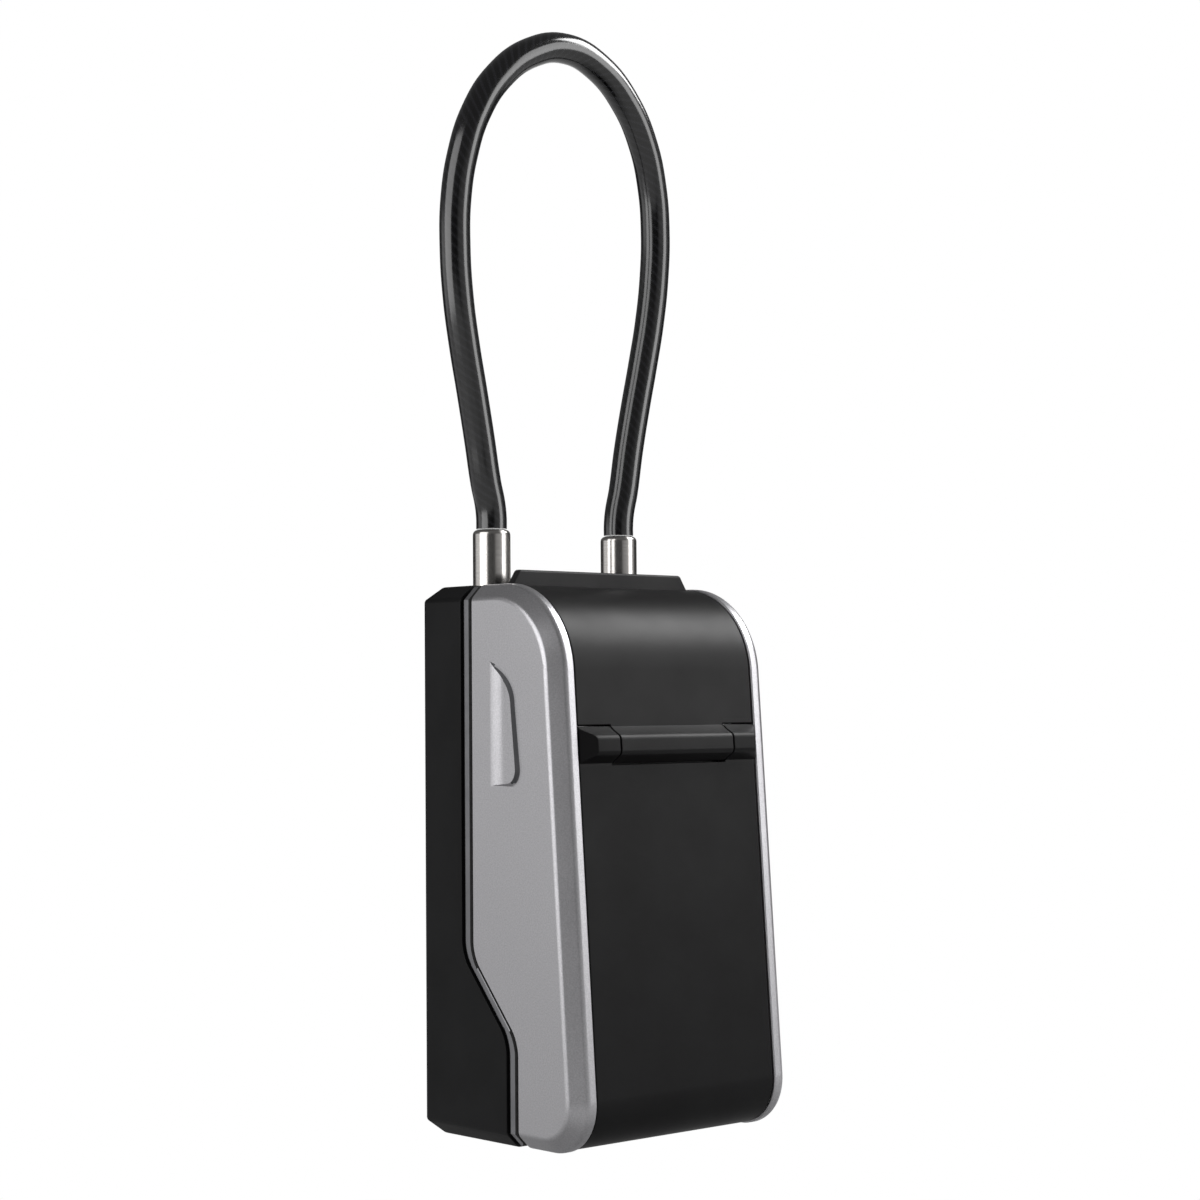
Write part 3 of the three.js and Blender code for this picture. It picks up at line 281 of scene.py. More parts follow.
def rod(name: str, centre: Pair, ends: Pair, radius: float, axis: Axis) -> Piece:
    """Makes a round rod.

    Args:
        name: Name of the new object.
        centre: Place across the rod, in millimetres, in the order of a bar's outline.
        ends: Where it starts and stops along the axis.
        radius: Its radius.
        axis: The axis that it runs along.

    Returns:
        The closed rod.
    """
    clear_bench()
    turns = {Axis.ACROSS: (0, math.pi / 2, 0), Axis.DEEP: (math.pi / 2, 0, 0), Axis.UPRIGHT: (0, 0, 0)}
    bpy.ops.mesh.primitive_cylinder_add(
        vertices=ROD_FACES,
        radius=radius * MM,
        depth=abs(ends[1] - ends[0]) * MM,
        location=in_space(axis, *centre, sum(ends) / 2),
        rotation=turns[axis],
    )
    return added(name)


def turned(name: str, centre: Pair, profile: Sequence[Pair]) -> Piece:
    """Makes a turned upright piece: a disc is extruded and resized step by step.

    Args:
        name: Name of the new object.
        centre: Its axis, as x and y in millimetres.
        profile: Radius and height of each step, from the foot up.

    Returns:
        The closed piece.
    """
    clear_bench()
    radius, height = profile[0]
    foot = in_space(Axis.UPRIGHT, *centre, height)
    bpy.ops.mesh.primitive_circle_add(
        vertices=TURNED_FACES, radius=radius * MM, fill_type="NGON", location=foot
    )
    piece = added(name)
    with editing(piece, Kind.FACES):
        bpy.ops.mesh.select_all(action="SELECT")
        for next_radius, next_height in profile[1:]:
            rise = (0, 0, (next_height - height) * MM)
            bpy.ops.mesh.extrude_region_move(TRANSFORM_OT_translate={"value": rise})
            ratio = next_radius / radius
            step = in_space(Axis.UPRIGHT, *centre, next_height)
            bpy.ops.transform.resize(value=(ratio, ratio, 1), center_override=step)
            radius, height = next_radius, next_height
        face_outward()
    return piece


def combine(piece: Piece, tool: Piece, cut: Cut) -> Piece:
    """Cuts or joins a piece with a tool.

    Args:
        piece: The piece that stays.
        tool: The other solid, which is used up.
        cut: What is done.

    Returns:
        The piece.
    """
    activate(piece)
    step = piece.modifiers.new(cut.name, "BOOLEAN")
    step.operation = cut.value
    step.object = tool
    step.solver = "EXACT"
    bpy.ops.object.modifier_apply(modifier=step.name)
    bpy.data.objects.remove(tool, do_unlink=True)
    return piece


def clean(piece: Piece) -> None:
    """Merges doubled corners and flat neighbouring faces after a cut, and closes slivers.

    Args:
        piece: The mesh object.
    """
    with editing(piece, Kind.EDGES):
        weld(0.000005)
        bpy.ops.mesh.dissolve_limited(angle_limit=math.radians(0.2))
        bpy.ops.mesh.select_all(action="SELECT")
        bpy.ops.mesh.fill_holes(sides=6)
        face_outward()


def slice_off(piece: Piece, point: Triple, normal: Triple) -> None:
    """Cuts away what lies on the far side of a plane and closes the cut.

    Args:
        piece: The mesh object.
        point: A point of the plane in millimetres.
        normal: The plane's direction towards what goes away.
    """
    with editing(piece, Kind.FACES):
        bpy.ops.mesh.select_all(action="SELECT")
        bpy.ops.mesh.bisect(
            plane_co=Vector(point) * MM, plane_no=normal, use_fill=True, clear_outer=True, threshold=0.000001
        )
        face_outward()


def shade(piece: Piece, angle: float = 32) -> None:
    """Smooths the shading across soft edges and keeps flat faces flat.

    Args:
        piece: The mesh object.
        angle: Least turn in degrees of an edge that stays sharp.
    """
    activate(piece)
    bpy.ops.object.shade_smooth_by_angle(angle=math.radians(angle))
    step = piece.modifiers.new("Flat faces", "WEIGHTED_NORMAL")
    step.keep_sharp = True
    bpy.ops.object.modifier_apply(modifier=step.name)


def copied(node: str, name: str, width: float, angle: float = 28) -> Piece:
    """Copies a CAD node's mesh, merges its loose triangles and rounds its edges.

    Args:
        node: The CAD node.
        name: Name of the new piece.
        width: Width of the rounding in millimetres.
        angle: Least turn in degrees that is rounded.

    Returns:
        The finer piece.
    """
    piece = bpy.data.objects.new(name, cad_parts[node].data.copy())
    piece.data.materials.clear()
    bpy.context.scene.collection.objects.link(piece)
    with editing(piece, Kind.EDGES):
        bpy.ops.mesh.customdata_custom_splitnormals_clear()
        weld(0.00001)
        bpy.ops.mesh.dissolve_limited(angle_limit=math.radians(0.3))
    activate(piece)
    step = piece.modifiers.new("Rounding", "BEVEL")
    step.width = width * MM
    step.segments = 2
    step.limit_method = "ANGLE"
    step.angle_limit = math.radians(angle)
    step.use_clamp_overlap = True
    step.miter_outer = "MITER_ARC"
    bpy.ops.object.modifier_apply(modifier=step.name)
    shade(piece)
    return piece


def leaned(piece: Piece, row: Triple) -> Piece:
    """Turns a piece made upright at the origin into the door's leaning front.

    Args:
        piece: The mesh object, in the lock's own frame.
        row: Where that frame's origin is, in millimetres.

    Returns:
        The piece in its place.
    """
    piece.rotation_euler = (-LEAN, 0, 0)
    piece.location = Vector(row) * MM
    settle(piece)
    return piece


def place(piece: Piece, body: str, slot: str, *nodes: str) -> Piece:
    """Lets a piece ride on a CAD body and stand for CAD nodes.

    Args:
        piece: The finished piece.
        body: The body that it moves with.
        slot: The record's material slot; it is not used.
        *nodes: The CAD nodes that it replaces.

    Returns:
        The piece.
    """
    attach(piece, body)
    if nodes:
        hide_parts(*nodes)
    log.info("%s rides on %s, %d faces", piece.name, body, len(piece.data.polygons))
    return piece


def paint(piece: Piece, material: Material) -> None:
    """Gives a piece one material all over."""
    piece.data.materials.clear()
    piece.data.materials.append(material)


def paint_some(piece: Piece, material: Material, test: Callable[[Face], bool]) -> None:
    """Gives a painted piece a second material on some of its faces.

    Args:
        piece: The mesh object.
        material: The second material.
        test: Says whether a face gets it.
    """
    piece.data.materials.append(material)
    for face in piece.data.polygons:
        if test(face):
            face.material_index = 1


def dress(material: Material, *nodes: str) -> None:
    """Gives CAD nodes a material without touching their meshes.

    Args:
        material: The material.
        *nodes: The CAD nodes.
    """
    for node in nodes:
        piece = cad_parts[node]
        if not piece.material_slots:
            piece.data.materials.append(material)
        for holder in piece.material_slots:
            holder.material = material


# Finishes


def linear(code: str) -> tuple[float, float, float, float]:
    """Turns an sRGB hex value into a linear colour with full cover.

    Args:
        code: Six hex digits.

    Returns:
        Red, green, blue and 1.
    """
    parts = [int(code[i : i + 2], 16) / 255 for i in (0, 2, 4)]
    red, green, blue = [c / 12.92 if c <= 0.04045 else ((c + 0.055) / 1.055) ** 2.4 for c in parts]
    return (red, green, blue, 1.0)


def per_mm(size: float) -> float:
    """Returns a texture scale whose pattern repeats about every so many millimetres."""
    return 1 / (size * MM)


def add_node(
    tree: Tree,
    kind: str,
    inputs: Inputs | None = None,
    stops: Sequence[tuple[float, str | float]] = (),
    **settings: object,
) -> bpy.types.Node:
    """Adds one shader node.

    Args:
        tree: The node tree.
        kind: Type of the node, without its common prefix.
        inputs: For each input a value, an output, or a node whose first output feeds it.
        stops: Places along a colour ramp, each with a hex value or a grey.
        **settings: Values of the node's own properties.

    Returns:
        The node.
    """
    node = tree.nodes.new(f"ShaderNode{kind}")
    for name, value in settings.items():
        setattr(node, name, value)
    for socket, value in (inputs or {}).items():
        source = value.outputs[0] if isinstance(value, bpy.types.Node) else value
        if isinstance(source, bpy.types.NodeSocket):
            tree.links.new(source, node.inputs[socket])
        else:
            node.inputs[socket].default_value = source
    if stops:
        line = node.color_ramp.elements
        while len(line) < len(stops):
            line.new(0.5)
        for element, (where, value) in zip(line, stops):
            element.position = where
            element.color = linear(value) if isinstance(value, str) else (value, value, value, 1.0)
    return node


def open_tree(name: str) -> tuple[Material, Tree, Socket]:
    """Starts an empty node material.

    Args:
        name: Name of the material.

    Returns:
        The material, its tree and the object coordinates in it.
    """
    material = bpy.data.materials.new(name)
    material.use_nodes = True
    tree = material.node_tree
    tree.nodes.clear()
    return material, tree, add_node(tree, "TexCoord").outputs["Object"]


@dataclass(frozen=True)
class Finish:
    """One finish of the real box: its name, its darker and its lighter tone."""

    name: str
    dark: str
    light: str

    def build(self) -> Material:
        """Makes the material from the shader inputs that the finish wires.

        Returns:
            The material.
        """
        material, tree, coords = open_tree(self.name)
        shader = add_node(tree, "BsdfPrincipled", self.wire(tree, coords))
        add_node(tree, "OutputMaterial", {"Surface": shader})
        return material

    def wire(self, tree: Tree, coords: Socket) -> Inputs:
        """Lays the finish's pattern; each kind of finish has its own.

        Args:
            tree: The material's tree.
            coords: The object coordinates.

        Returns:
            The inputs of the material's shader.
        """
        raise NotImplementedError


@dataclass(frozen=True)
class MetallicPaint(Finish):
    """Silver metallic paint baked on a zinc casting: satin, with fine bright flakes in a grey coat."""

    name: str = "silver_metallic_paint"
    dark: str = "ADACAF"
    light: str = "C0BFC2"
    flake: float = 0.42
    flake_relief: float = 0.22
    cloud: float = 30.0
    orange_peel: float = 3.0
    peel_relief: float = 0.06
    roughness: float = 0.35

    def wire(self, tree: Tree, coords: Socket) -> Inputs:
        """Lays bright flakes in a slightly cloudy coat with faint orange peel.

        Args:
            tree: The material's tree.
            coords: The object coordinates.

        Returns:
            The inputs of the material's shader.
        """
        # Flakes about 0.4 mm apart give the paint its fine grain
        flakes = add_node(
            tree, "TexNoise", {"Vector": coords, "Scale": per_mm(self.flake), "Detail": 3.0, "Roughness": 0.7}
        )
        cloud = add_node(tree, "TexNoise", {"Vector": coords, "Scale": per_mm(self.cloud), "Detail": 2.0})
        tone = add_node(tree, "ValToRGB", {"Fac": flakes}, [(0.36, self.dark), (0.64, self.light)])
        glossy, dull = self.roughness - 0.03, self.roughness + 0.04
        gloss = add_node(tree, "ValToRGB", {"Fac": cloud}, [(0.3, glossy), (0.7, dull)])
        peel = {"Vector": coords, "Scale": per_mm(self.orange_peel), "Detail": 1.0}
        swell = {"Strength": self.peel_relief, "Distance": 0.0001, "Height": add_node(tree, "TexNoise", peel)}
        wave = add_node(tree, "Bump", swell)
        relief = {"Strength": self.flake_relief, "Distance": 0.00004, "Height": flakes, "Normal": wave}
        return {
            "Base Color": tone,
            "Metallic": 0.9,
            "Roughness": gloss,
            "Normal": add_node(tree, "Bump", relief),
            "Specular IOR Level": 0.4,
        }


@dataclass(frozen=True)
class SatinMoulding(Finish):
    """Injection-moulded black ABS: satin, with a fine even mould grain that breaks up reflections."""

    roughness: float
    specular: float
    grain: float = 0.35
    depth: float = 0.25
    flow: float = 22.0

    def wire(self, tree: Tree, coords: Socket) -> Inputs:
        """Lays the mould's skin over broad flow marks.

        Args:
            tree: The material's tree.
            coords: The object coordinates.

        Returns:
            The inputs of the material's shader.
        """
        # Spark-eroded mould skin with pits about a third of a millimetre apart
        skin = add_node(tree, "TexNoise", {"Vector": coords, "Scale": per_mm(self.grain), "Detail": 2.0})
        flow = add_node(
            tree, "TexNoise", {"Vector": coords, "Scale": per_mm(self.flow), "Detail": 3.0, "Roughness": 0.6}
        )
        dull, glossy = self.roughness + 0.04, self.roughness - 0.03
        return {
            "Base Color": add_node(tree, "ValToRGB", {"Fac": flow}, [(0.3, self.dark), (0.7, self.light)]),
            "Roughness": add_node(tree, "ValToRGB", {"Fac": flow}, [(0.25, dull), (0.75, glossy)]),
            "Specular IOR Level": self.specular,
            "Normal": add_node(tree, "Bump", {"Strength": self.depth, "Distance": 0.00003, "Height": skin}),
        }


@dataclass(frozen=True)
class CastPaint(Finish):
    """Gunmetal enamel over a zinc casting: smooth, half glossy, with faint flow marks."""

    name: str = "gunmetal_enamel"
    dark: str = "737376"
    light: str = "808083"
    roughness: float = 0.34
    flow: float = 9.0
    grain: float = 0.5

    def wire(self, tree: Tree, coords: Socket) -> Inputs:
        """Lays flow marks and a fine grain of the casting under them.

        Args:
            tree: The material's tree.
            coords: The object coordinates.

        Returns:
            The inputs of the material's shader.
        """
        flow = add_node(tree, "TexNoise", {"Vector": coords, "Scale": per_mm(self.flow), "Detail": 4.0})
        fine = add_node(tree, "TexNoise", {"Vector": coords, "Scale": per_mm(self.grain), "Detail": 2.0})
        dull, glossy = self.roughness + 0.05, self.roughness - 0.03
        return {
            "Base Color": add_node(tree, "ValToRGB", {"Fac": flow}, [(0.3, self.dark), (0.7, self.light)]),
            "Metallic": 0.7,
            "Roughness": add_node(tree, "ValToRGB", {"Fac": flow}, [(0.3, dull), (0.7, glossy)]),
            "Specular IOR Level": 0.4,
            "Normal": add_node(tree, "Bump", {"Strength": 0.2, "Distance": 0.00004, "Height": fine}),
        }


@dataclass(frozen=True)
class BareMetal(Finish):
    """Bare or plated metal, with fine lines left by the tool along one axis."""

    roughness: float
    line: float = 0.3
    stretch: Triple = (1.0, 1.0, 0.04)
    depth: float = 0.15
    spread: float = 0.06

    def wire(self, tree: Tree, coords: Socket) -> Inputs:
        """Lays the tool's marks.

        Args:
            tree: The material's tree.
            coords: The object coordinates.

        Returns:
            The inputs of the material's shader.
        """
        # Tool marks about a third of a millimetre apart, drawn out along the stretch
        drawn = add_node(tree, "Mapping", {"Vector": coords, "Scale": self.stretch})
        marks = add_node(
            tree, "TexNoise", {"Vector": drawn, "Scale": per_mm(self.line), "Detail": 3.0, "Roughness": 0.6}
        )
        dull, glossy = self.roughness + self.spread, self.roughness - self.spread
        return {
            "Base Color": add_node(tree, "ValToRGB", {"Fac": marks}, [(0.3, self.dark), (0.7, self.light)]),
            "Metallic": 1.0,
            "Roughness": add_node(tree, "ValToRGB", {"Fac": marks}, [(0.3, dull), (0.7, glossy)]),
            "Normal": add_node(tree, "Bump", {"Strength": self.depth, "Distance": 0.00002, "Height": marks}),
        }


@dataclass(frozen=True)
class CableVinyl(Finish):
    """Clear-skinned black PVC over a twisted wire rope: glossy, with the strands faint under the skin."""

    name: str = "vinyl_over_wire_rope"
    dark: str = "030304"
    light: str = "151518"
    pitch: float = 26.0
    strands: int = 9
    roughness: float = 0.16
    cloud: float = 6.0

    def wire(self, tree: Tree, coords: Socket) -> Inputs:
        """Lays the strands along the tube's own UV map: length in millimetres, then turn.

        Args:
            tree: The material's tree.
            coords: The object coordinates.

        Returns:
            The inputs of the material's shader.
        """
        flat = add_node(tree, "UVMap", uv_map="rope")
        parts = add_node(tree, "SeparateXYZ", {"Vector": flat}).outputs
        # Strands cross the tube slantwise about every 2 mm
        lay = add_node(tree, "Math", {0: parts["X"], 1: self.pitch}, operation="DIVIDE")
        turn = add_node(tree, "Math", {0: lay, 1: parts["Y"]}, operation="ADD")
        phase = add_node(tree, "Math", {0: turn, 1: self.strands * math.tau}, operation="MULTIPLY")
        wave = add_node(tree, "Math", {0: phase}, operation="SINE")
        level = add_node(tree, "MapRange", {"Value": wave, "From Min": -1.0, "From Max": 1.0})
        cloud = add_node(tree, "TexNoise", {"Vector": coords, "Scale": per_mm(self.cloud), "Detail": 3.0})
        glossy, dull = self.roughness - 0.03, self.roughness + 0.06
        return {
            "Base Color": add_node(tree, "ValToRGB", {"Fac": level}, [(0.5, self.dark), (0.95, self.light)]),
            "Roughness": add_node(tree, "ValToRGB", {"Fac": cloud}, [(0.3, glossy), (0.7, dull)]),
            "Specular IOR Level": 0.05,
            "Coat Weight": 1.0,
            "Coat Roughness": 0.16,
            "Coat IOR": 1.7,
            "Normal": add_node(tree, "Bump", {"Strength": 0.12, "Distance": 0.0001, "Height": level}),
        }


@dataclass(frozen=True)
class SoftRubber(Finish):
    """Matt black rubber: dusty, without clear highlights."""

    name: str = "soft_black_rubber"
    dark: str = "161616"
    light: str = "232323"
    dust: float = 1.2

    def wire(self, tree: Tree, coords: Socket) -> Inputs:
        """Lays specks of dust over a dull skin.

        Args:
            tree: The material's tree.
            coords: The object coordinates.

        Returns:
            The inputs of the material's shader.
        """
        dust = add_node(tree, "TexNoise", {"Vector": coords, "Scale": per_mm(self.dust), "Detail": 5.0})
        return {
            "Base Color": add_node(tree, "ValToRGB", {"Fac": dust}, [(0.35, self.dark), (0.7, self.light)]),
            "Roughness": 0.78,
            "Specular IOR Level": 0.25,
            "Normal": add_node(tree, "Bump", {"Strength": 0.3, "Distance": 0.00004, "Height": dust}),
        }


@dataclass(frozen=True)
class PrintedWhite(Finish):
    """White ink pressed into the number wheels: chalky, a little uneven."""

    name: str = "white_number_ink"
    dark: str = "D6D6D2"
    light: str = "EFEFEC"
    speck: float = 0.6

    def wire(self, tree: Tree, coords: Socket) -> Inputs:
        """Lays an ink that covers a little unevenly.

        Args:
            tree: The material's tree.
            coords: The object coordinates.

        Returns:
            The inputs of the material's shader.
        """
        cover = add_node(tree, "TexNoise", {"Vector": coords, "Scale": per_mm(self.speck), "Detail": 3.0})
        tone = add_node(tree, "ValToRGB", {"Fac": cover}, [(0.3, self.dark), (0.6, self.light)])
        return {"Base Color": tone, "Roughness": 0.55}


class Paintbox:
    """All finishes of the lock box, each built once."""

    def __init__(self) -> None:
        """Builds every material."""
        self.silver = MetallicPaint().build()
        # A darker copy of the silver paint, painted shade for the grips' front walls
        self.pooled = MetallicPaint("painted_wall_shade_metallic_paint", "59595C", "656568").build()
        self.jacket = SatinMoulding("black_abs_jacket", "0B0B0C", "111112", 0.42, 0.14).build()
        self.cover = SatinMoulding("black_abs_cover", "0B0A0B", "101011", 0.4, 0.14).build()
        self.panel = SatinMoulding("black_abs_panel", "0A090A", "0F0E0F", 0.4, 0.18).build()
        # A lighter, glossier copy of the black moulding for the lip: a painted reflection on its front
        self.lip = SatinMoulding("black_abs_lip_painted_reflection", "1A191A", "212021", 0.44, 0.2).build()
        self.back_plate = SatinMoulding(
            "grained_black_plate", "101011", "18181A", 0.55, 0.25, 0.5, 0.5
        ).build()
        self.lever = SatinMoulding("black_acetal_lever", "131314", "1C1C1D", 0.38, 0.3).build()
        self.wheel = SatinMoulding("black_acetal_wheel", "0C0C0D", "131314", 0.36, 0.35, 0.4, 0.15).build()
        self.cast = CastPaint().build()
        self.steel = BareMetal("zinc_plated_steel", "B4B6B8", "C6C8C9", 0.3).build()
        self.polished = BareMetal(
            "turned_stainless_steel", "B4B1AE", "C6C3C0", 0.2, 0.25, (0.05, 0.05, 1.0), 0.06, 0.03
        ).build()
        self.spring = BareMetal("drawn_spring_wire", "9A9B9E", "B4B5B8", 0.24, 0.2, (1.0, 1.0, 0.3)).build()
        self.zinc = BareMetal(
            "raw_zinc_casting", "8E9094", "A2A4A7", 0.48, 0.6, (1.0, 1.0, 1.0), 0.35, 0.08
        ).build()
        self.vinyl = CableVinyl().build()
        self.rubber = SoftRubber().build()
        self.ink = PrintedWhite().build()


# The body's form


@dataclass(frozen=True)
class BodyForm:
    """The shared outer form, in millimetres, that the door, its panels and the case are cut from."""

    width: float = 83.2
    height: float = 157.2
    depth: float = 67.6
    top_radius: float = 26.5
    foot_radius: float = 14.5
    door_lift: float = 0.3
    edge_bevel: float = 4.15
    rear_corner: float = 5.0
    rear_edge: float = 1.8
    seam_top: float = 10.4
    seam_foot: float = -9.0
    jog_top: float = 52.2
    jog_foot: float = 29.9
    jog_softening: float = 4.0
    # What several sub-assemblies share: the door's hinge, the shackle's legs and the row of wheels
    hinge: Pair = (-4.7, 3.9)
    pin_radius: float = 1.8
    leg: Pair = (25.0, 21.25)
    wheels: tuple[float, ...] = (-16.5, -5.5, 5.5, 16.5)
    row_height: float = 79.7
    # How far tools reach past the box
    beyond: float = 67.6
    clear: float = 90.0

    @property
    def half(self) -> float:
        """Half the width."""
        return self.width / 2

    @property
    def rear(self) -> float:
        """Where the back is."""
        return self.depth / 2

    def front_at(self, z: float, inset: float = 0.0) -> float:
        """Finds the leaning front's surface.

        Args:
            z: The height.
            inset: How far the surface is drawn in.

        Returns:
            Its place in depth.
        """
        foot_y = -self.depth / 2 + self.foot_radius
        foot_z = self.door_lift + self.foot_radius
        return foot_y - (self.foot_radius - inset) / math.cos(LEAN) + (z - foot_z) * math.tan(LEAN)

    def side_block(self, name: str, inset: float, rear: float, half: float) -> Piece:
        """Makes the door's side outline as a bar.

        Args:
            name: Name of the new object.
            inset: How far every face is drawn in.
            rear: Where it ends towards the back.
            half: Half its width.

        Returns:
            The bar with its top and foot rounded.
        """
        high, low = self.height - inset, self.door_lift + inset
        front_high, front_low = self.front_at(high, inset), self.front_at(low, inset)
        outline = [(rear, high), (front_high, high), (front_low, low), (rear, low)]
        piece = bar(name, outline, (-half, half), Axis.ACROSS)
        top_reach = (self.top_radius - inset) * math.tan((math.pi / 2 - LEAN) / 2)
        foot_reach = (self.foot_radius - inset) * math.tan((math.pi / 2 + LEAN) / 2)
        bevel(piece, self._lengthwise(high), top_reach, 30)
        bevel(piece, self._lengthwise(low), foot_reach, 18)
        return piece

    def _lengthwise(self, height: float) -> Test:
        """Makes a test for the sharp front edge across the box at a height.

        Args:
            height: The height in millimetres.

        Returns:
            The test.
        """

        def test(edge: Edge) -> bool:
            """Says whether it is that edge."""
            spot = middle(edge)
            return across(edge) > 0.99 and abs(spot.z - height) < 0.01 and spot.y < self.seam_top - 5

        return test

    def seam_block(self, name: str, offset: float) -> Piece:
        """Makes the solid of everything behind the seam between door and case.

        Args:
            name: Name of the new object.
            offset: How far it is moved back.

        Returns:
            The solid, with the seam's two bends rounded.
        """
        upper, lower = self.seam_top + offset, self.seam_foot + offset
        far, high, low = self.rear + self.beyond, self.height + self.beyond, -self.beyond
        outline = [(upper, high), (upper, self.jog_top), (lower, self.jog_foot), (lower, low)]
        outline += [(far, low), (far, high)]
        piece = bar(name, outline, (-self.beyond, self.beyond), Axis.ACROSS)

        def jog(edge: Edge) -> bool:
            """Says whether an edge is one of the seam's two bends."""
            return across(edge) > 0.99 and self.jog_foot - 1 < middle(edge).z < self.jog_top + 1

        bevel(piece, jog, self.jog_softening, 6)
        return piece

    def case_block(self, name: str, inset: float) -> Piece:
        """Makes the bevelled block of the rear case, long towards the front.

        Args:
            name: Name of the new object.
            inset: How far every face is drawn in.

        Returns:
            The block.
        """
        half, top, rear = self.half - inset, self.height - inset, self.rear - inset
        front = -self.beyond
        shrink = inset * (2 - math.sqrt(2))
        bevels = (self.edge_bevel, self.rear_corner, self.rear_edge)
        edge, corner, upright = (max(size - shrink, 0.3) for size in bevels)
        side = [(front, inset), (rear - corner, inset), (rear, inset + corner)]
        side += [(rear, top - corner), (rear - corner, top), (front, top)]
        face = [(-half + edge, inset), (half - edge, inset), (half, inset + edge), (half, top - edge)]
        face += [(half - edge, top), (-half + edge, top), (-half, top - edge), (-half, inset + edge)]
        plan = [(-half, front), (half, front), (half, rear - upright), (half - upright, rear)]
        plan += [(-half + upright, rear), (-half, rear - upright)]
        piece = bar(name, side, (-half - 1, half + 1), Axis.ACROSS)
        combine(piece, bar("face", face, (front - 1, rear + 1), Axis.DEEP), Cut.KEEP)
        combine(piece, bar("plan", plan, (inset - 1, top + 1), Axis.UPRIGHT), Cut.KEEP)
        clean(piece)
        return piece


FORM = BodyForm()
ROW = (0.0, FORM.front_at(FORM.row_height), FORM.row_height)


def span(side: int, inner: float, outer: float) -> Pair:
    """Returns two places on one side, lower first."""
    return (-outer, -inner) if side < 0 else (inner, outer)


# Shackle


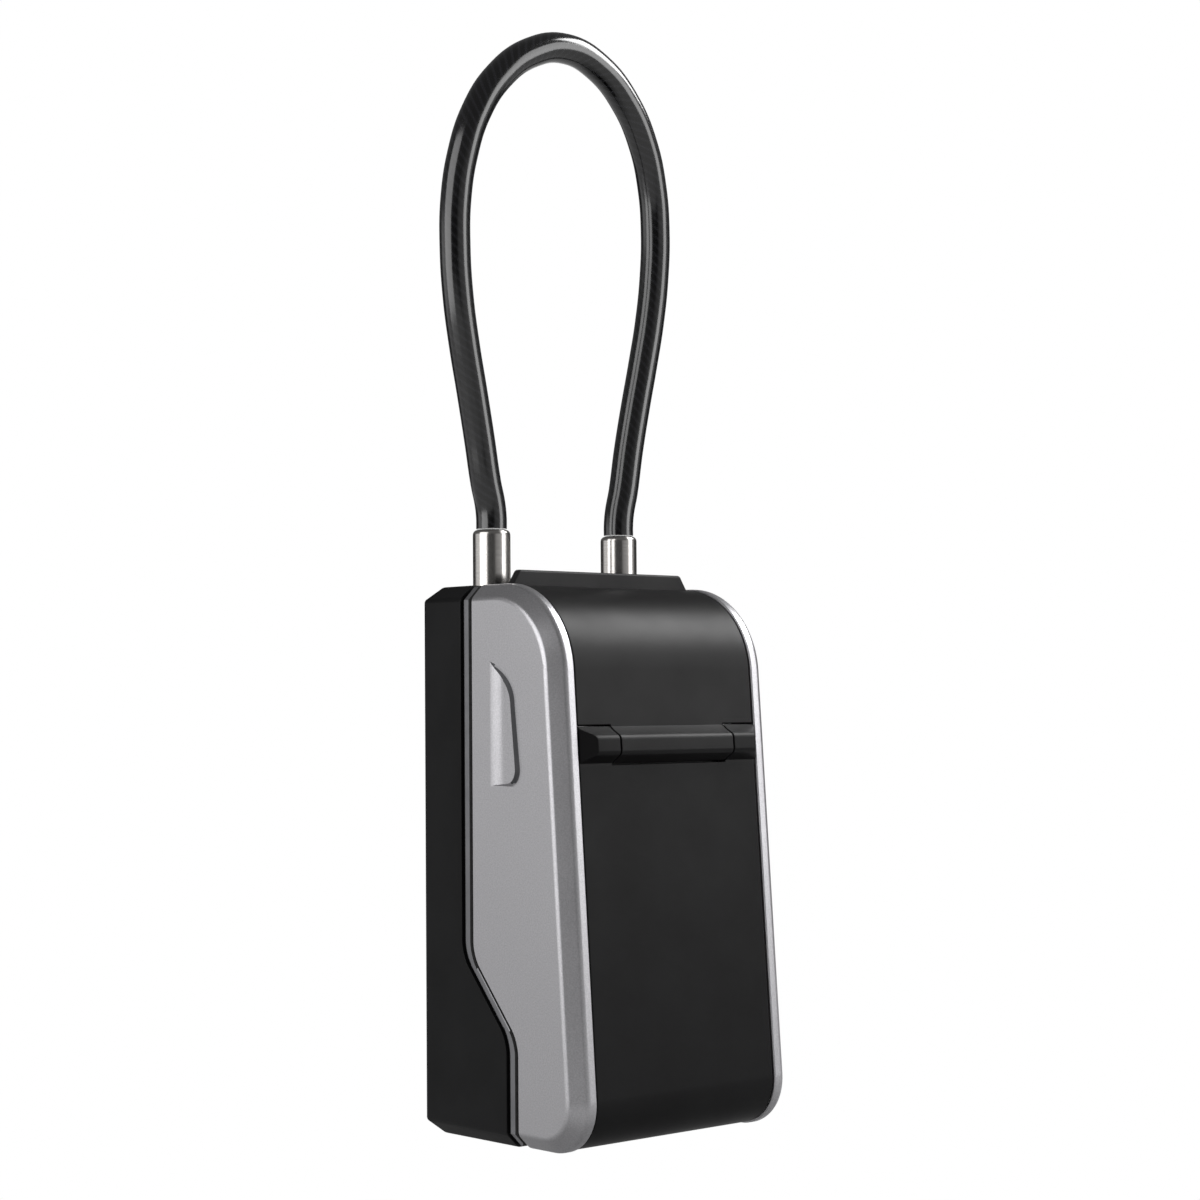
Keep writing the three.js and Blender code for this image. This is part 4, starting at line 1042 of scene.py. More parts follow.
@dataclass(frozen=True)
class Shackle:
    """Two steel legs and the vinyl-covered wire rope between them."""

    radius: float = 5.5
    top: float = 173.9
    # Steps of the legs' rounded top: how far inside the radius and how far below the top
    crown: tuple[Pair, ...] = ((0.0, 1.5), (0.05, 1.05), (0.25, 0.6), (0.6, 0.22), (1.05, 0.03))
    captive: tuple[Pair, ...] = (
        (4.7, 114.2),
        (5.5, 115.0),
        (5.5, 118.2),
        (4.0, 118.2),
        (4.0, 139.8),
        (5.5, 139.8),
    )
    free: tuple[Pair, ...] = ((4.7, 141.2), (5.5, 142.0))
    notch: tuple[Pair, ...] = ((18, 22.6), (14, 28), (144.0, 150.4))
    rope_radius: float = 4.5
    rope_length: float = 332.2
    rope_sides: int = 40
    half_route: tuple[Triple, ...] = (
        (-25, 0, 0.3),
        (-25.02, 0, 3.5),
        (-25.5, 0, 7.5),
        (-27.05, 0, 13.7),
        (-29.4, 0, 26.6),
        (-32.2, -0.2, 40),
        (-35.2, -0.5, 53.4),
        (-37.8, -1, 67.1),
        (-39.3, -1.6, 81.1),
        (-39.4, -2.2, 95.1),
        (-37.5, -3, 108.3),
        (-33.1, -3.8, 121.1),
        (-25.1, -4.6, 132.8),
        (-13.4, -5.3, 141.6),
    )
    apex: Triple = (0, -5.6, 145)

    def route(self) -> list[Vector]:
        """Lays out the rope's centre line between the two legs.

        Returns:
            Its points in metres.
        """
        right = [(-x, y, z) for x, y, z in reversed(self.half_route)]
        offsets = [*self.half_route, self.apex, *right]
        return [Vector((x, FORM.leg[1] + y, self.top + z)) * MM for x, y, z in offsets]

    def build_rope(self, material: Material) -> Piece:
        """Makes the rope as a tube along its route.

        Args:
            material: Its finish.

        Returns:
            The tube.
        """
        points = self.route()
        clear_bench()
        line = bpy.data.curves.new("rope_line", "CURVE")
        line.dimensions = "3D"
        spline = line.splines.new("BEZIER")
        spline.bezier_points.add(len(points) - 1)
        for knot, point in zip(spline.bezier_points, points):
            knot.co = point
            knot.handle_left_type = knot.handle_right_type = "AUTO"
        spline.resolution_u = 8
        line.bevel_depth = self.rope_radius * MM
        line.bevel_resolution = self.rope_sides // 2 - 2
        line.use_fill_caps = False
        line.twist_mode = "MINIMUM"
        rope = bpy.data.objects.new("shackle_rope", line)
        bpy.context.scene.collection.objects.link(rope)
        activate(rope)
        bpy.ops.object.convert(target="MESH")
        rope = bpy.context.object
        rope.name = rope.data.name = "shackle_rope"
        self._unroll(rope)
        with editing(rope, Kind.EDGES):
            pick(rope, Kind.EDGES, lambda edge: edge.is_boundary)
            bpy.ops.mesh.edge_face_add()
            face_outward()
        activate(rope)
        bpy.ops.object.shade_smooth_by_angle(angle=math.radians(40))
        paint(rope, material)
        place(rope, "shackle", "vinyl", "shackle_cable")
        return rope

    def _unroll(self, rope: Piece) -> None:
        """Gives the tube a UV map: its length in millimetres and its turn as a fraction.

        Args:
            rope: The open tube, ring after ring.
        """
        corners = rope.data.vertices
        ring = self.rope_sides
        rings = [[corner.co for corner in corners[i : i + ring]] for i in range(0, len(corners), ring)]
        centres = [sum(spots, Vector()) / ring for spots in rings]
        lengths = [0.0]
        for before, after in zip(centres, centres[1:]):
            lengths.append(lengths[-1] + (after - before).length / MM)
        log.info("rope: %d rings of %d, %.1f mm", len(rings), ring, lengths[-1])
        layer = rope.data.uv_layers.get("rope") or rope.data.uv_layers.new(name="rope")
        for face in rope.data.polygons:
            turns = [index % ring for index in face.vertices]
            wraps = max(turns) - min(turns) > ring / 2
            for loop, index, turn in zip(face.loop_indices, face.vertices, turns):
                past_start = ring if wraps and turn < ring / 2 else 0
                layer.data[loop].uv = (lengths[index // ring], (turn + past_start) / ring)

    def build_legs(self, material: Material) -> None:
        """Makes the two turned steel legs.

        Args:
            material: Their finish.
        """
        x, y = FORM.leg
        crown = [(self.radius - inward, self.top - under) for inward, under in self.crown]
        left = turned("captive_leg", (-x, y), [*self.captive, *crown])
        right = turned("free_leg", (x, y), [*self.free, *crown])
        combine(right, block("notch", *self.notch), Cut.AWAY)
        clean(right)
        for leg, node in ((left, "shackle_leg_captive"), (right, "shackle_leg_free")):
            shade(leg, 35)
            paint(leg, material)
            place(leg, "shackle", "polished_steel", node)


# Door


@dataclass(frozen=True)
class Door:
    """The silver door casting: bevelled cheeks with finger grips, and the web between them."""

    pocket_half: float = 34.4
    pocket: float = 5.2
    pocket_end: float = -12.6
    cavity: float = 7.4
    cavity_half: float = 36.0
    top_centre: Pair = (0.73, 130.7)
    foot_centre: Pair = (-19.3, 14.8)
    grip_rear: float = 2.3
    grip_top: float = 135.2
    grip_foot: float = 100.1
    grip_front_top: float = -9.7
    grip_front_foot: float = -12.0
    grip_depth: float = 0.9
    grip_ramp: float = 5.2
    grip_lip: float = 0.3
    grip_front_slope: float = 3.8
    grip_top_slope: float = 1.5
    grip_corner: float = 4.5
    grip_reach: float = 6.0
    window: Pair = (4.7, 9.78)
    slot_half: float = 4.9
    slot: Pair = (-28.7, -18.9)
    ear_room: tuple[Pair, ...] = ((21.7, 34.4), (0.0, 6.0), (26.18, 37.98))
    knuckle: Pair = (14, 22)
    knuckle_radius: float = 3.1

    def build(self, material: Material, pooled: Material) -> Piece:
        """Makes the casting.

        Args:
            material: Its finish.
            pooled: A darker copy of the paint on the grips' front walls, as painted shade.

        Returns:
            The piece, which stands for the CAD casting.
        """
        piece = FORM.side_block("silver_door", 0, FORM.rear, FORM.half)
        bevel(piece, self._cheek_rim, FORM.edge_bevel, 1)
        bevel(piece, self._flat_edge, 0.9, 4)
        combine(piece, FORM.seam_block("seam", 0), Cut.AWAY)
        clean(piece)
        bevel(piece, self._seam_edge, 0.35, 3)
        combine(piece, self._pocket_tool(), Cut.AWAY)
        clean(piece)
        bevel(piece, self._rim_edge, 0.4, 3)
        combine(piece, FORM.side_block("cavity", self.cavity, FORM.rear + 2, self.cavity_half), Cut.AWAY)
        clean(piece)
        for side in SIDES:
            combine(piece, self._grip_tool(side), Cut.AWAY)
        clean(piece)
        bevel(piece, self._grip_floor, 0.3, 3)
        self._lock_openings(piece)
        clean(piece)
        shade(piece)
        paint(piece, material)
        # The grips' front walls get a darker copy of the paint: painted shade along the walls, so that each
        # grip shows a dark line
        paint_some(piece, pooled, self._grip_wall)
        return place(piece, "door", "silver", "door_casting")

    @staticmethod
    def _cheek_rim(edge: Edge) -> bool:
        """Says whether an edge bounds one of the two outer side faces."""
        return any(abs(face.normal.x) > 0.99 for face in edge.link_faces) and across(edge) < 0.5

    @staticmethod
    def _flat_edge(edge: Edge) -> bool:
        """Says whether an edge bounds the flat of a side or lies between a bevel and the rounded front."""
        return 30 < turn_at(edge) < 60 and across(edge) < 0.3

    @staticmethod
    def _seam_edge(edge: Edge) -> bool:
        """Says whether an edge runs round the face that meets the case.

        Args:
            edge: The edge.

        Returns:
            Whether it does.
        """
        rear = any(face.normal.y > 0.6 for face in edge.link_faces)
        other = any(face.normal.y < 0.5 for face in edge.link_faces)
        return rear and other and middle(edge).y > FORM.seam_foot - 0.5 and turn_at(edge) > 25

    def _rim_edge(self, edge: Edge) -> bool:
        """Says whether an edge is the inner edge of a front rim.

        Args:
            edge: The edge.

        Returns:
            Whether it is.
        """
        spot = middle(edge)
        straight = all(abs(abs(vert.co.x / MM) - self.pocket_half) < 0.02 for vert in edge.verts)
        outer = any(abs(face.normal.x) < 0.3 for face in edge.link_faces)
        wall = any(abs(face.normal.x) > 0.9 for face in edge.link_faces)
        if not (straight and outer and wall and turn_at(edge) > 45):
            return False
        depth = spot.y - FORM.front_at(spot.z)
        high = FORM.height - spot.z
        low = spot.z - FORM.door_lift
        return min(depth, high, low) < 1.0 or not self._deep(spot)

    def _deep(self, spot: Vector) -> bool:
        """Says whether a place lies well under the door's outer surface.

        Args:
            spot: The place in millimetres.

        Returns:
            Whether it does.
        """
        under = 1.5
        top_y, top_z = self.top_centre
        foot_y, foot_z = self.foot_centre
        if spot.z > top_z and spot.y < top_y:
            return math.hypot(spot.y - top_y, spot.z - top_z) < FORM.top_radius - under
        if spot.z < foot_z and spot.y < foot_y:
            return math.hypot(spot.y - foot_y, spot.z - foot_z) < FORM.foot_radius - under
        depth = spot.y - FORM.front_at(spot.z)
        return min(depth, FORM.height - spot.z, spot.z - FORM.door_lift) > under

    def _near_grip(self, spot: Vector) -> bool:
        """Says whether a place lies within a grip's mouth, seen from the side."""
        upright = self.grip_foot - 1 < spot.z < self.grip_top + 1
        return upright and self.grip_front_foot - 1 < spot.y < self.grip_rear + 1

    def _grip_wall(self, face: Face) -> bool:
        """Says whether a face belongs to a grip's wall, but not to its ramp; these faces get the painted
        shade.

        Args:
            face: The face.

        Returns:
            Whether it does.
        """
        spot = face.center / MM
        sunk = FORM.half - self.grip_depth - 0.1 < abs(spot.x) < FORM.half - 0.02
        back, up = face.normal.y, face.normal.z
        steep = back > -0.05 and math.hypot(back, up) > 0.15 and up < 1.7 * back
        return sunk and self._near_grip(spot) and steep

    def _grip_floor(self, edge: Edge) -> bool:
        """Says whether an edge runs round the floor of a grip.

        Args:
            edge: The edge.

        Returns:
            Whether it does.
        """
        floor = FORM.half - self.grip_depth
        on_floor = all(abs(abs(vert.co.x / MM) - floor) < 0.01 for vert in edge.verts)
        return self._near_grip(middle(edge)) and on_floor and turn_at(edge) > 12

    def _pocket_tool(self) -> Piece:
        """Makes the solid of the recess for the black panels.

        Returns:
            The tool.
        """
        half = self.pocket_half
        tool = block("pocket", (-half, half), (-FORM.rear - 1, FORM.rear), (-1, FORM.height + 1))
        combine(tool, FORM.side_block("floor", self.pocket, FORM.rear + 1, FORM.beyond), Cut.AWAY)
        depth, height = (self.pocket_end, FORM.rear + 1), (-2, FORM.height / 2)
        combine(tool, block("rest", (-FORM.beyond, FORM.beyond), depth, height), Cut.AWAY)
        return tool

    def _grip_outline(self) -> list[Pair]:
        """Draws a grip's mouth: a long curve from its rear top to its front, and a round foot.

        Returns:
            Its corners, as depth and height.
        """
        rear, top, foot = self.grip_rear, self.grip_top, self.grip_foot
        front_top, front_foot, corner = self.grip_front_top, self.grip_front_foot, self.grip_corner
        knots = ((rear, top), (rear - 4, top - 1.2), (front_top, top - 4.5), (front_top, top - 12))
        outline: list[Pair] = [(rear + self.grip_reach, foot), (rear + self.grip_reach, top)]
        for i in range(17):
            t = i / 16
            weights = ((1 - t) ** 3, 3 * t * (1 - t) ** 2, 3 * t * t * (1 - t), t**3)
            outline.append(tuple(sum(w * knot[k] for w, knot in zip(weights, knots)) for k in (0, 1)))
        for i in range(9):
            angle = math.pi + i * math.pi / 16
            y, z = corner * (1 + math.cos(angle)), corner * (1 + math.sin(angle))
            outline.append((front_foot + y, foot + z))
        return outline

    def _grip_tool(self, side: int) -> Piece:
        """Makes the cutter of one finger grip: its walls slope up to the mouth, and its rear is a soft ramp.

        Args:
            side: Which side of the box.

        Returns:
            The tool.
        """
        rear, depth = self.grip_rear, self.grip_depth
        surface, outside = FORM.half, side * (FORM.half + 1)
        tool = bar("grip", self._grip_outline(), (side * surface, outside), Axis.ACROSS)
        fixed_y, centre_z = rear + self.grip_reach, self.grip_top - 25.0
        half_y, half_z = fixed_y - self.grip_front_foot, self.grip_top - centre_z
        with editing(tool, Kind.FACES):
            pick(tool, Kind.FACES, lambda face: face.normal.x * side < -0.9)
            level, lip = 0.0, self.grip_lip
            before = (half_y, half_z)
            for under, inset in ((0.35 * lip, 0.7 * lip), (lip, lip), (depth + 0.5, 0.0)):
                inward = (side * (level - under) * MM, 0, 0)
                bpy.ops.mesh.extrude_region_move(TRANSFORM_OT_translate={"value": inward})
                slope = (under + inset) / depth
                after = (half_y - slope * self.grip_front_slope, half_z - slope * self.grip_top_slope)
                ratio = [new / old for new, old in zip(after, before)]
                centre = in_space(Axis.UPRIGHT, side * (surface - under), fixed_y, centre_z)
                bpy.ops.transform.resize(value=(1, *ratio), center_override=centre)
                level, before = under, after
            face_outward()
        start, slack = rear + 0.6, 0.03
        wedge = [(outside, start)]
        for i in range(13):
            t = i / 12
            drop = (depth + slack) * t * t * (3 - 2 * t)
            wedge.append((side * (surface + slack - drop), start - (self.grip_ramp + 0.6) * t))
        front = self.grip_front_foot - 2
        wedge += [(side * (surface - depth), front), (outside, front)]
        height = (self.grip_foot - 2, self.grip_top + 2)
        combine(tool, bar("ramp", wedge, height, Axis.UPRIGHT), Cut.KEEP)
        clean(tool)
        return tool

    def _lock_openings(self, piece: Piece) -> None:
        """Cuts the lock's openings and the relief for the cover's ears, and adds the hinge knuckles.

        Args:
            piece: The door.
        """
        through = (self.pocket - 1, self.cavity + 1)
        half, high = self.window
        openings = [block("window", (x - half, x + half), through, (-high, high)) for x in FORM.wheels]
        openings.append(block("slot", (-self.slot_half, self.slot_half), through, self.slot))
        for opening in openings:
            combine(piece, leaned(opening, ROW), Cut.AWAY)
        reach, depth, height = self.ear_room
        y, z = FORM.hinge
        radius = self.knuckle_radius
        for side in SIDES:
            relief = block("relief", span(side, *reach), depth, height)
            combine(piece, leaned(relief, ROW), Cut.AWAY)
            ends = span(side, *self.knuckle)
            knuckle = rod("knuckle", FORM.hinge, ends, radius, Axis.ACROSS)
            root = block("root", ends, (FORM.seam_foot - 1, y), (z - radius, z + radius))
            combine(knuckle, root, Cut.JOIN)
            combine(piece, knuckle, Cut.JOIN)
        combine(piece, rod("pin", FORM.hinge, (-60, 60), FORM.pin_radius, Axis.ACROSS), Cut.AWAY)


@dataclass(frozen=True)
class FrontPanels:
    """The two black mouldings on the door: the fixed upper panel and the drop-down dial cover."""

    half: float = 34.1
    recess: float = 0.4
    thickness: float = 2.4
    ridge: float = 32.076
    ridge_half: float = 5.1
    shoulder: float = 3.9
    shoulder_reach: float = 1.0
    reach: float = 3.8
    face_top: float = 2.1
    face_foot: float = 2.8
    boss_radius: float = 3.4
    knuckle_half: float = 21.7
    ear_inner: float = 22.1
    ear_slant: float = 3.6
    pin_room: float = 32.2
    gap: float = 0.4
    cover_end: float = -13.0
    lip_y: float = 0.85
    lip_thickness: float = 2.5
    lip_height: float = 4.1
    lip_slant: float = 2.6

    def _outline(self, foot: float) -> list[Pair]:
        """Draws the ridge's section.

        Args:
            foot: Where it ends below, seen from its middle.

        Returns:
            Its corners, as depth and height in the lock's frame.
        """
        at = self.ridge
        return [
            (self.recess, at + self.ridge_half),
            (-self.shoulder_reach, at + self.shoulder),
            (-self.reach, at + self.face_top),
            (-self.reach, at - self.face_foot),
            (self.recess, at - self.ridge_half),
            (self.recess + 0.05, at + foot),
            (self.recess + self.thickness - 0.05, at + foot),
            (self.recess + self.thickness - 0.05, at + self.shoulder),
        ]

    def _shell(self, name: str, rear: float) -> Piece:
        """Makes the curved sheet that both mouldings are cut from, with its long edges rounded.

        Args:
            name: Name of the new object.
            rear: Where it ends towards the back.

        Returns:
            The sheet.
        """
        piece = FORM.side_block(name, self.recess, rear, self.half)

        def long_edge(edge: Edge) -> bool:
            """Says whether an edge bounds one of the two ends."""
            return any(abs(face.normal.x) > 0.99 for face in edge.link_faces) and across(edge) < 0.5

        bevel(piece, long_edge, 0.5, 3)
        inner = FORM.side_block("inner", self.recess + self.thickness, rear + 1, self.half + 1)
        combine(piece, inner, Cut.AWAY)
        clean(piece)
        return piece

    @staticmethod
    def _on_front(local: float) -> Triple:
        """Returns the point of the leaning front at a height of the lock's frame."""
        return (0.0, ROW[1] + local * math.sin(LEAN), ROW[2] + local * math.cos(LEAN))

    def _drill(self, piece: Piece, half: float) -> None:
        """Cuts the hole for the cover's hinge pin and finishes the mesh.

        Args:
            piece: The moulding.
            half: Half the hole's length.
        """
        hole = rod("hole", (0.0, self.ridge), (-half, half), FORM.pin_radius, Axis.ACROSS)
        combine(piece, leaned(hole, ROW), Cut.AWAY)
        clean(piece)
        shade(piece)

    def build_panel(self, material: Material, painted_lip_reflection: Material) -> Piece:
        """Makes the upper panel with its pull lip and the fixed knuckle.

        Args:
            material: Its finish.
            painted_lip_reflection: The lighter finish of the lip, a painted reflection on it.

        Returns:
            The piece.
        """
        piece = self._shell("upper_panel", FORM.seam_top - 0.3)
        high = self.ridge + self.ridge_half + self.gap
        slice_off(piece, self._on_front(high), (0.0, -math.sin(LEAN), -math.cos(LEAN)))
        clean(piece)

        def foot_edge(edge: Edge) -> bool:
            """Says whether an edge is the panel's outer foot edge."""
            spot = middle(edge)
            low = spot.z < self._on_front(high)[2] + 0.5
            return across(edge) > 0.9 and low and spot.y < FORM.front_at(spot.z, 1.2)

        bevel(piece, foot_edge, 0.3, 2)
        combine(piece, self._knuckle(high), Cut.JOIN)
        combine(piece, self._lip(), Cut.JOIN)
        self._drill(piece, 60)
        paint(piece, material)
        # The lip's standing part gets the lighter finish, a painted reflection
        paint_some(piece, painted_lip_reflection, lambda face: face.center.z > (FORM.height + 0.1) * MM)
        return place(piece, "door", "moulding", "top_panel")

    def _knuckle(self, high: float) -> Piece:
        """Makes the fixed middle part of the ridge, with its boss and the root that joins it to the door.

        Args:
            high: Where the panel above it starts.

        Returns:
            The knuckle in its place.
        """
        width, foot = (-self.knuckle_half, self.knuckle_half), self.ridge - self.ridge_half
        knuckle = bar("knuckle", self._outline(-self.ridge_half + 0.9), width, Axis.ACROSS)
        bevel(knuckle, self._ridge_edge, 1.0, 5)
        bevel(knuckle, self._end_edge, 0.3, 2)
        combine(knuckle, block("strip", width, (0.4, 2.8), (self.ridge + 3.4, high + 1.0)), Cut.JOIN)
        boss = rod("boss", (0.0, self.ridge), width, self.boss_radius, Axis.ACROSS)
        combine(knuckle, boss, Cut.JOIN)
        # Root and tongue close the slit below the ridge, so that no light shows through it
        combine(knuckle, block("root", width, (1.6, 4.6), (foot + 0.6, foot + 2.4)), Cut.JOIN)
        combine(knuckle, block("tongue", width, (3.3, 4.6), (foot - 2.4, foot + 1.0)), Cut.JOIN)
        return leaned(knuckle, ROW)

    def _ridge_edge(self, edge: Edge) -> bool:
        """Says whether an edge is one of the ridge's outer creases."""
        return across(edge) > 0.99 and middle(edge).y < self.recess - 0.2 and turn_at(edge) > 8

    def _end_edge(self, edge: Edge) -> bool:
        """Says whether an edge runs round the ridge's two ends, in front of the panel.

        Args:
            edge: The edge.

        Returns:
            Whether it does.
        """
        ends = any(abs(face.normal.x) > 0.6 for face in edge.link_faces)
        rest = any(abs(face.normal.x) < 0.2 for face in edge.link_faces)
        return ends and rest and middle(edge).y < self.recess - 0.1 and turn_at(edge) > 30

    def _lip(self) -> Piece:
        """Makes the upright lip along the panel's top.

        Returns:
            The lip.
        """
        low, level, high = FORM.height - 1.5, FORM.height, FORM.height + self.lip_height
        outline = [(-self.half, low), (self.half, low), (self.half, level)]
        outline += [(self.half - self.lip_slant, high), (-self.half + self.lip_slant, high)]
        outline.append((-self.half, level))
        lip = bar("lip", outline, (self.lip_y, self.lip_y + self.lip_thickness), Axis.DEEP)

        def upper(edge: Edge) -> bool:
            """Says whether an edge belongs to the part that stands free."""
            return middle(edge).z > level + 0.3 and turn_at(edge) > 25

        bevel(lip, upper, 0.7, 4)
        return lip

    def build_cover(self, material: Material) -> Piece:
        """Makes the dial cover with its two ears and its wrapped foot.

        Args:
            material: Its finish.

        Returns:
            The piece.
        """
        piece = self._shell("drop_cover", FORM.seam_top)
        plate_top = self.ridge - self.ridge_half - self.gap
        slice_off(piece, self._on_front(plate_top), (0.0, math.sin(LEAN), math.cos(LEAN)))
        slice_off(piece, (0.0, self.cover_end, 0.0), (0.0, 1.0, 0.0))
        clean(piece)

        def outer_end(edge: Edge) -> bool:
            """Says whether an edge is the outer one of the cover's upper or foot end."""
            spot = middle(edge)
            if across(edge) < 0.9 or turn_at(edge) < 40:
                return False
            at_foot = abs(spot.y - self.cover_end) < 0.1 and spot.z < FORM.door_lift + 1.2
            at_top = spot.z > self._on_front(plate_top)[2] - 0.6 and spot.y < FORM.front_at(spot.z, 1.2)
            return at_foot or at_top

        bevel(piece, outer_end, 0.35, 3)
        for side in SIDES:
            combine(piece, self._ear(side), Cut.JOIN)
        self._drill(piece, self.pin_room)
        paint(piece, material)
        return place(piece, "dial_cover", "moulding", "dial_cover")

    def _ear(self, side: int) -> Piece:
        """Makes one ear of the cover's hinge, with its outer end slanted.

        Args:
            side: Which side of the box.

        Returns:
            The ear in its place.
        """
        width = span(side, self.ear_inner, self.half - 0.03)
        ear = bar("ear", self._outline(-self.ridge_half - 2), width, Axis.ACROSS)
        start, tip = side * (self.half - self.ear_slant), side * (self.half + 0.2)
        front = -self.reach - 1
        slant = [(start, -self.reach - 0.01), (tip, 0.0), (tip, front), (start, front)]
        height = (self.ridge - 2 * self.ridge_half, self.ridge + 2 * self.ridge_half)
        combine(ear, bar("slant", slant, height, Axis.UPRIGHT), Cut.AWAY)
        clean(ear)
        bevel(ear, self._ridge_edge, 1.0, 5)
        bevel(ear, self._end_edge, 0.3, 2)
        ends = span(side, self.ear_inner + 0.04, self.half - 0.04)
        boss = rod("boss", (0.0, self.ridge), ends, self.boss_radius, Axis.ACROSS)
        behind = block("behind", ends, (self.recess + 0.3, 4.0), (self.ridge - 4, self.ridge + 4))
        combine(boss, behind, Cut.KEEP)
        combine(ear, boss, Cut.JOIN)
        return leaned(ear, ROW)


# Rear case


@dataclass(frozen=True)
class RearCase:
    """The black jacket and the gunmetal container inside it, whose flange shows as a bead."""

    jacket_edge: float = 4.9
    jacket_wall: float = 2.0
    seam_gap: float = 0.9
    fit: float = 0.3
    bead_inset: float = 0.5
    bead_round: float = 0.9
    container_inset: float = 2.3
    room_inset: float = 4.8
    sill_height: float = 27.0
    hinge_round: float = 3.4
    lug_half: float = 35.0
    pin_half: float = 34.3
    seal: Pair = (1.9, 4.5)
    seal_depth: Pair = (0.4, 1.8)
    bore: float = 5.9
    knuckle_room: Pair = (13.6, 22.4)

    def build_jacket(self, material: Material) -> Piece:
        """Makes the moulded jacket.

        Args:
            material: Its finish.

        Returns:
            The piece.
        """
        piece = FORM.case_block("jacket_shell", 0)
        bevel(piece, lambda edge: turn_at(edge) > 20 and middle(edge).y > -FORM.beyond + 5, 0.8, 3)
        combine(piece, FORM.seam_block("seam", self.jacket_edge), Cut.KEEP)
        clean(piece)

        def mouth(edge: Edge) -> bool:
            """Says whether an edge runs round the jacket's front."""
            front = any(face.normal.y < -0.6 for face in edge.link_faces)
            return front and middle(edge).y < FORM.rear - 8 and turn_at(edge) > 30

        bevel(piece, mouth, 0.35, 2)
        combine(piece, FORM.case_block("inside", self.jacket_wall), Cut.AWAY)
        self._finish(piece)
        paint(piece, material)
        return place(piece, "case", "jacket", "rear_jacket")

    def build_container(self, material: Material, painted_gap_shade: Material) -> Piece:
        """Makes the cast container with its bead.

        Args:
            material: Its finish.
            painted_gap_shade: The black finish of the bead's sides, painted shade in the gaps beside it.

        Returns:
            The piece.
        """
        piece = FORM.case_block("key_bucket", self.bead_inset)
        combine(piece, FORM.seam_block("seam", self.seam_gap), Cut.KEEP)
        around = FORM.case_block("around", -1.0)
        combine(around, FORM.case_block("core", self.container_inset), Cut.AWAY)
        combine(around, FORM.seam_block("seam", self.jacket_edge - self.fit), Cut.KEEP)
        combine(piece, around, Cut.AWAY)
        clean(piece)
        bevel(piece, self._bead_edge, self.bead_round, 3)
        wide = (-FORM.clear, FORM.clear)
        room = FORM.case_block("room", self.room_inset)
        front = (-150, FORM.seam_foot + self.seam_gap + 2.5)
        combine(room, block("sill", wide, front, (-FORM.clear, self.sill_height)), Cut.AWAY)
        combine(piece, room, Cut.AWAY)
        self._hinge_seat(piece, wide)
        combine(piece, self._seal_groove(wide), Cut.AWAY)
        pin = rod("pin", FORM.hinge, (-self.pin_half, self.pin_half), FORM.pin_radius, Axis.ACROSS)
        combine(piece, pin, Cut.AWAY)
        self._finish(piece)
        paint(piece, material)
        # The bead's two slanted sides get the black rubber finish, painted shade in the gaps beside the bead,
        # so that only its crown shines
        paint_some(piece, painted_gap_shade, self._bead_side)
        return place(piece, "case", "cast_black", "key_container")

    @staticmethod
    def _outermost(spot: Vector, inset: float) -> bool:
        """Says whether a place lies near the box's outside, seen from the front.

        Args:
            spot: The place in millimetres.
            inset: How far inside the box the full reach counts.

        Returns:
            Whether it does.
        """
        half_height = FORM.height / 2
        upright = abs(spot.z - half_height) / (half_height - inset)
        return max(abs(spot.x) / (FORM.half - inset), upright) > 0.93

    def _bead_edge(self, edge: Edge) -> bool:
        """Says whether an edge runs round the bead's outside.

        Args:
            edge: The edge.

        Returns:
            Whether it does.
        """
        ends = any(abs(face.normal.y) > 0.6 for face in edge.link_faces)
        outer = any(abs(face.normal.y) < 0.3 for face in edge.link_faces)
        spot = middle(edge)
        near = self._outermost(spot, 1.2) and spot.y < FORM.seam_top + 6
        return ends and outer and turn_at(edge) > 30 and near

    def _bead_side(self, face: Face) -> bool:
        """Says whether a face is one of the bead's sides, next to the door or the jacket, which get the
        painted shade.
        """
        spot = face.center / MM
        return spot.y < FORM.seam_top + 6 and abs(face.normal.y) > 0.2 and self._outermost(spot, 1.4)

    def _hinge_seat(self, piece: Piece, wide: Pair) -> None:
        """Adds the lug that holds the door's pin, and rounds the edge below it.

        Args:
            piece: The container.
            wide: Two places past both sides of the box.
        """
        y, z = FORM.hinge
        lug = rod("lug", FORM.hinge, (-self.lug_half, self.lug_half), self.hinge_round, Axis.ACROSS)
        rear = (FORM.seam_foot + self.jacket_edge - self.fit, 60)
        combine(lug, block("low", wide, rear, (-1, self.container_inset)), Cut.AWAY)
        combine(piece, lug, Cut.JOIN)
        edge = block("edge", wide, (FORM.seam_foot, y), (-1, z))
        outside = (wide[0] - 1, wide[1] + 1)
        combine(edge, rod("round", FORM.hinge, outside, self.hinge_round, Axis.ACROSS), Cut.AWAY)
        combine(piece, edge, Cut.AWAY)

    def _seal_groove(self, wide: Pair) -> Piece:
        """Makes the solid of the groove for the rubber seal round the open edge.

        Args:
            wide: Two places past both sides of the box.

        Returns:
            The tool.
        """
        outer, inner = self.seal
        start, stop = self.seal_depth
        ring = FORM.case_block("groove", outer)
        combine(ring, FORM.case_block("core", inner), Cut.AWAY)
        combine(ring, FORM.seam_block("seam", start), Cut.KEEP)
        combine(ring, FORM.seam_block("seam", stop), Cut.AWAY)
        combine(ring, block("above", wide, wide, (8.7, 170)), Cut.KEEP)
        return ring

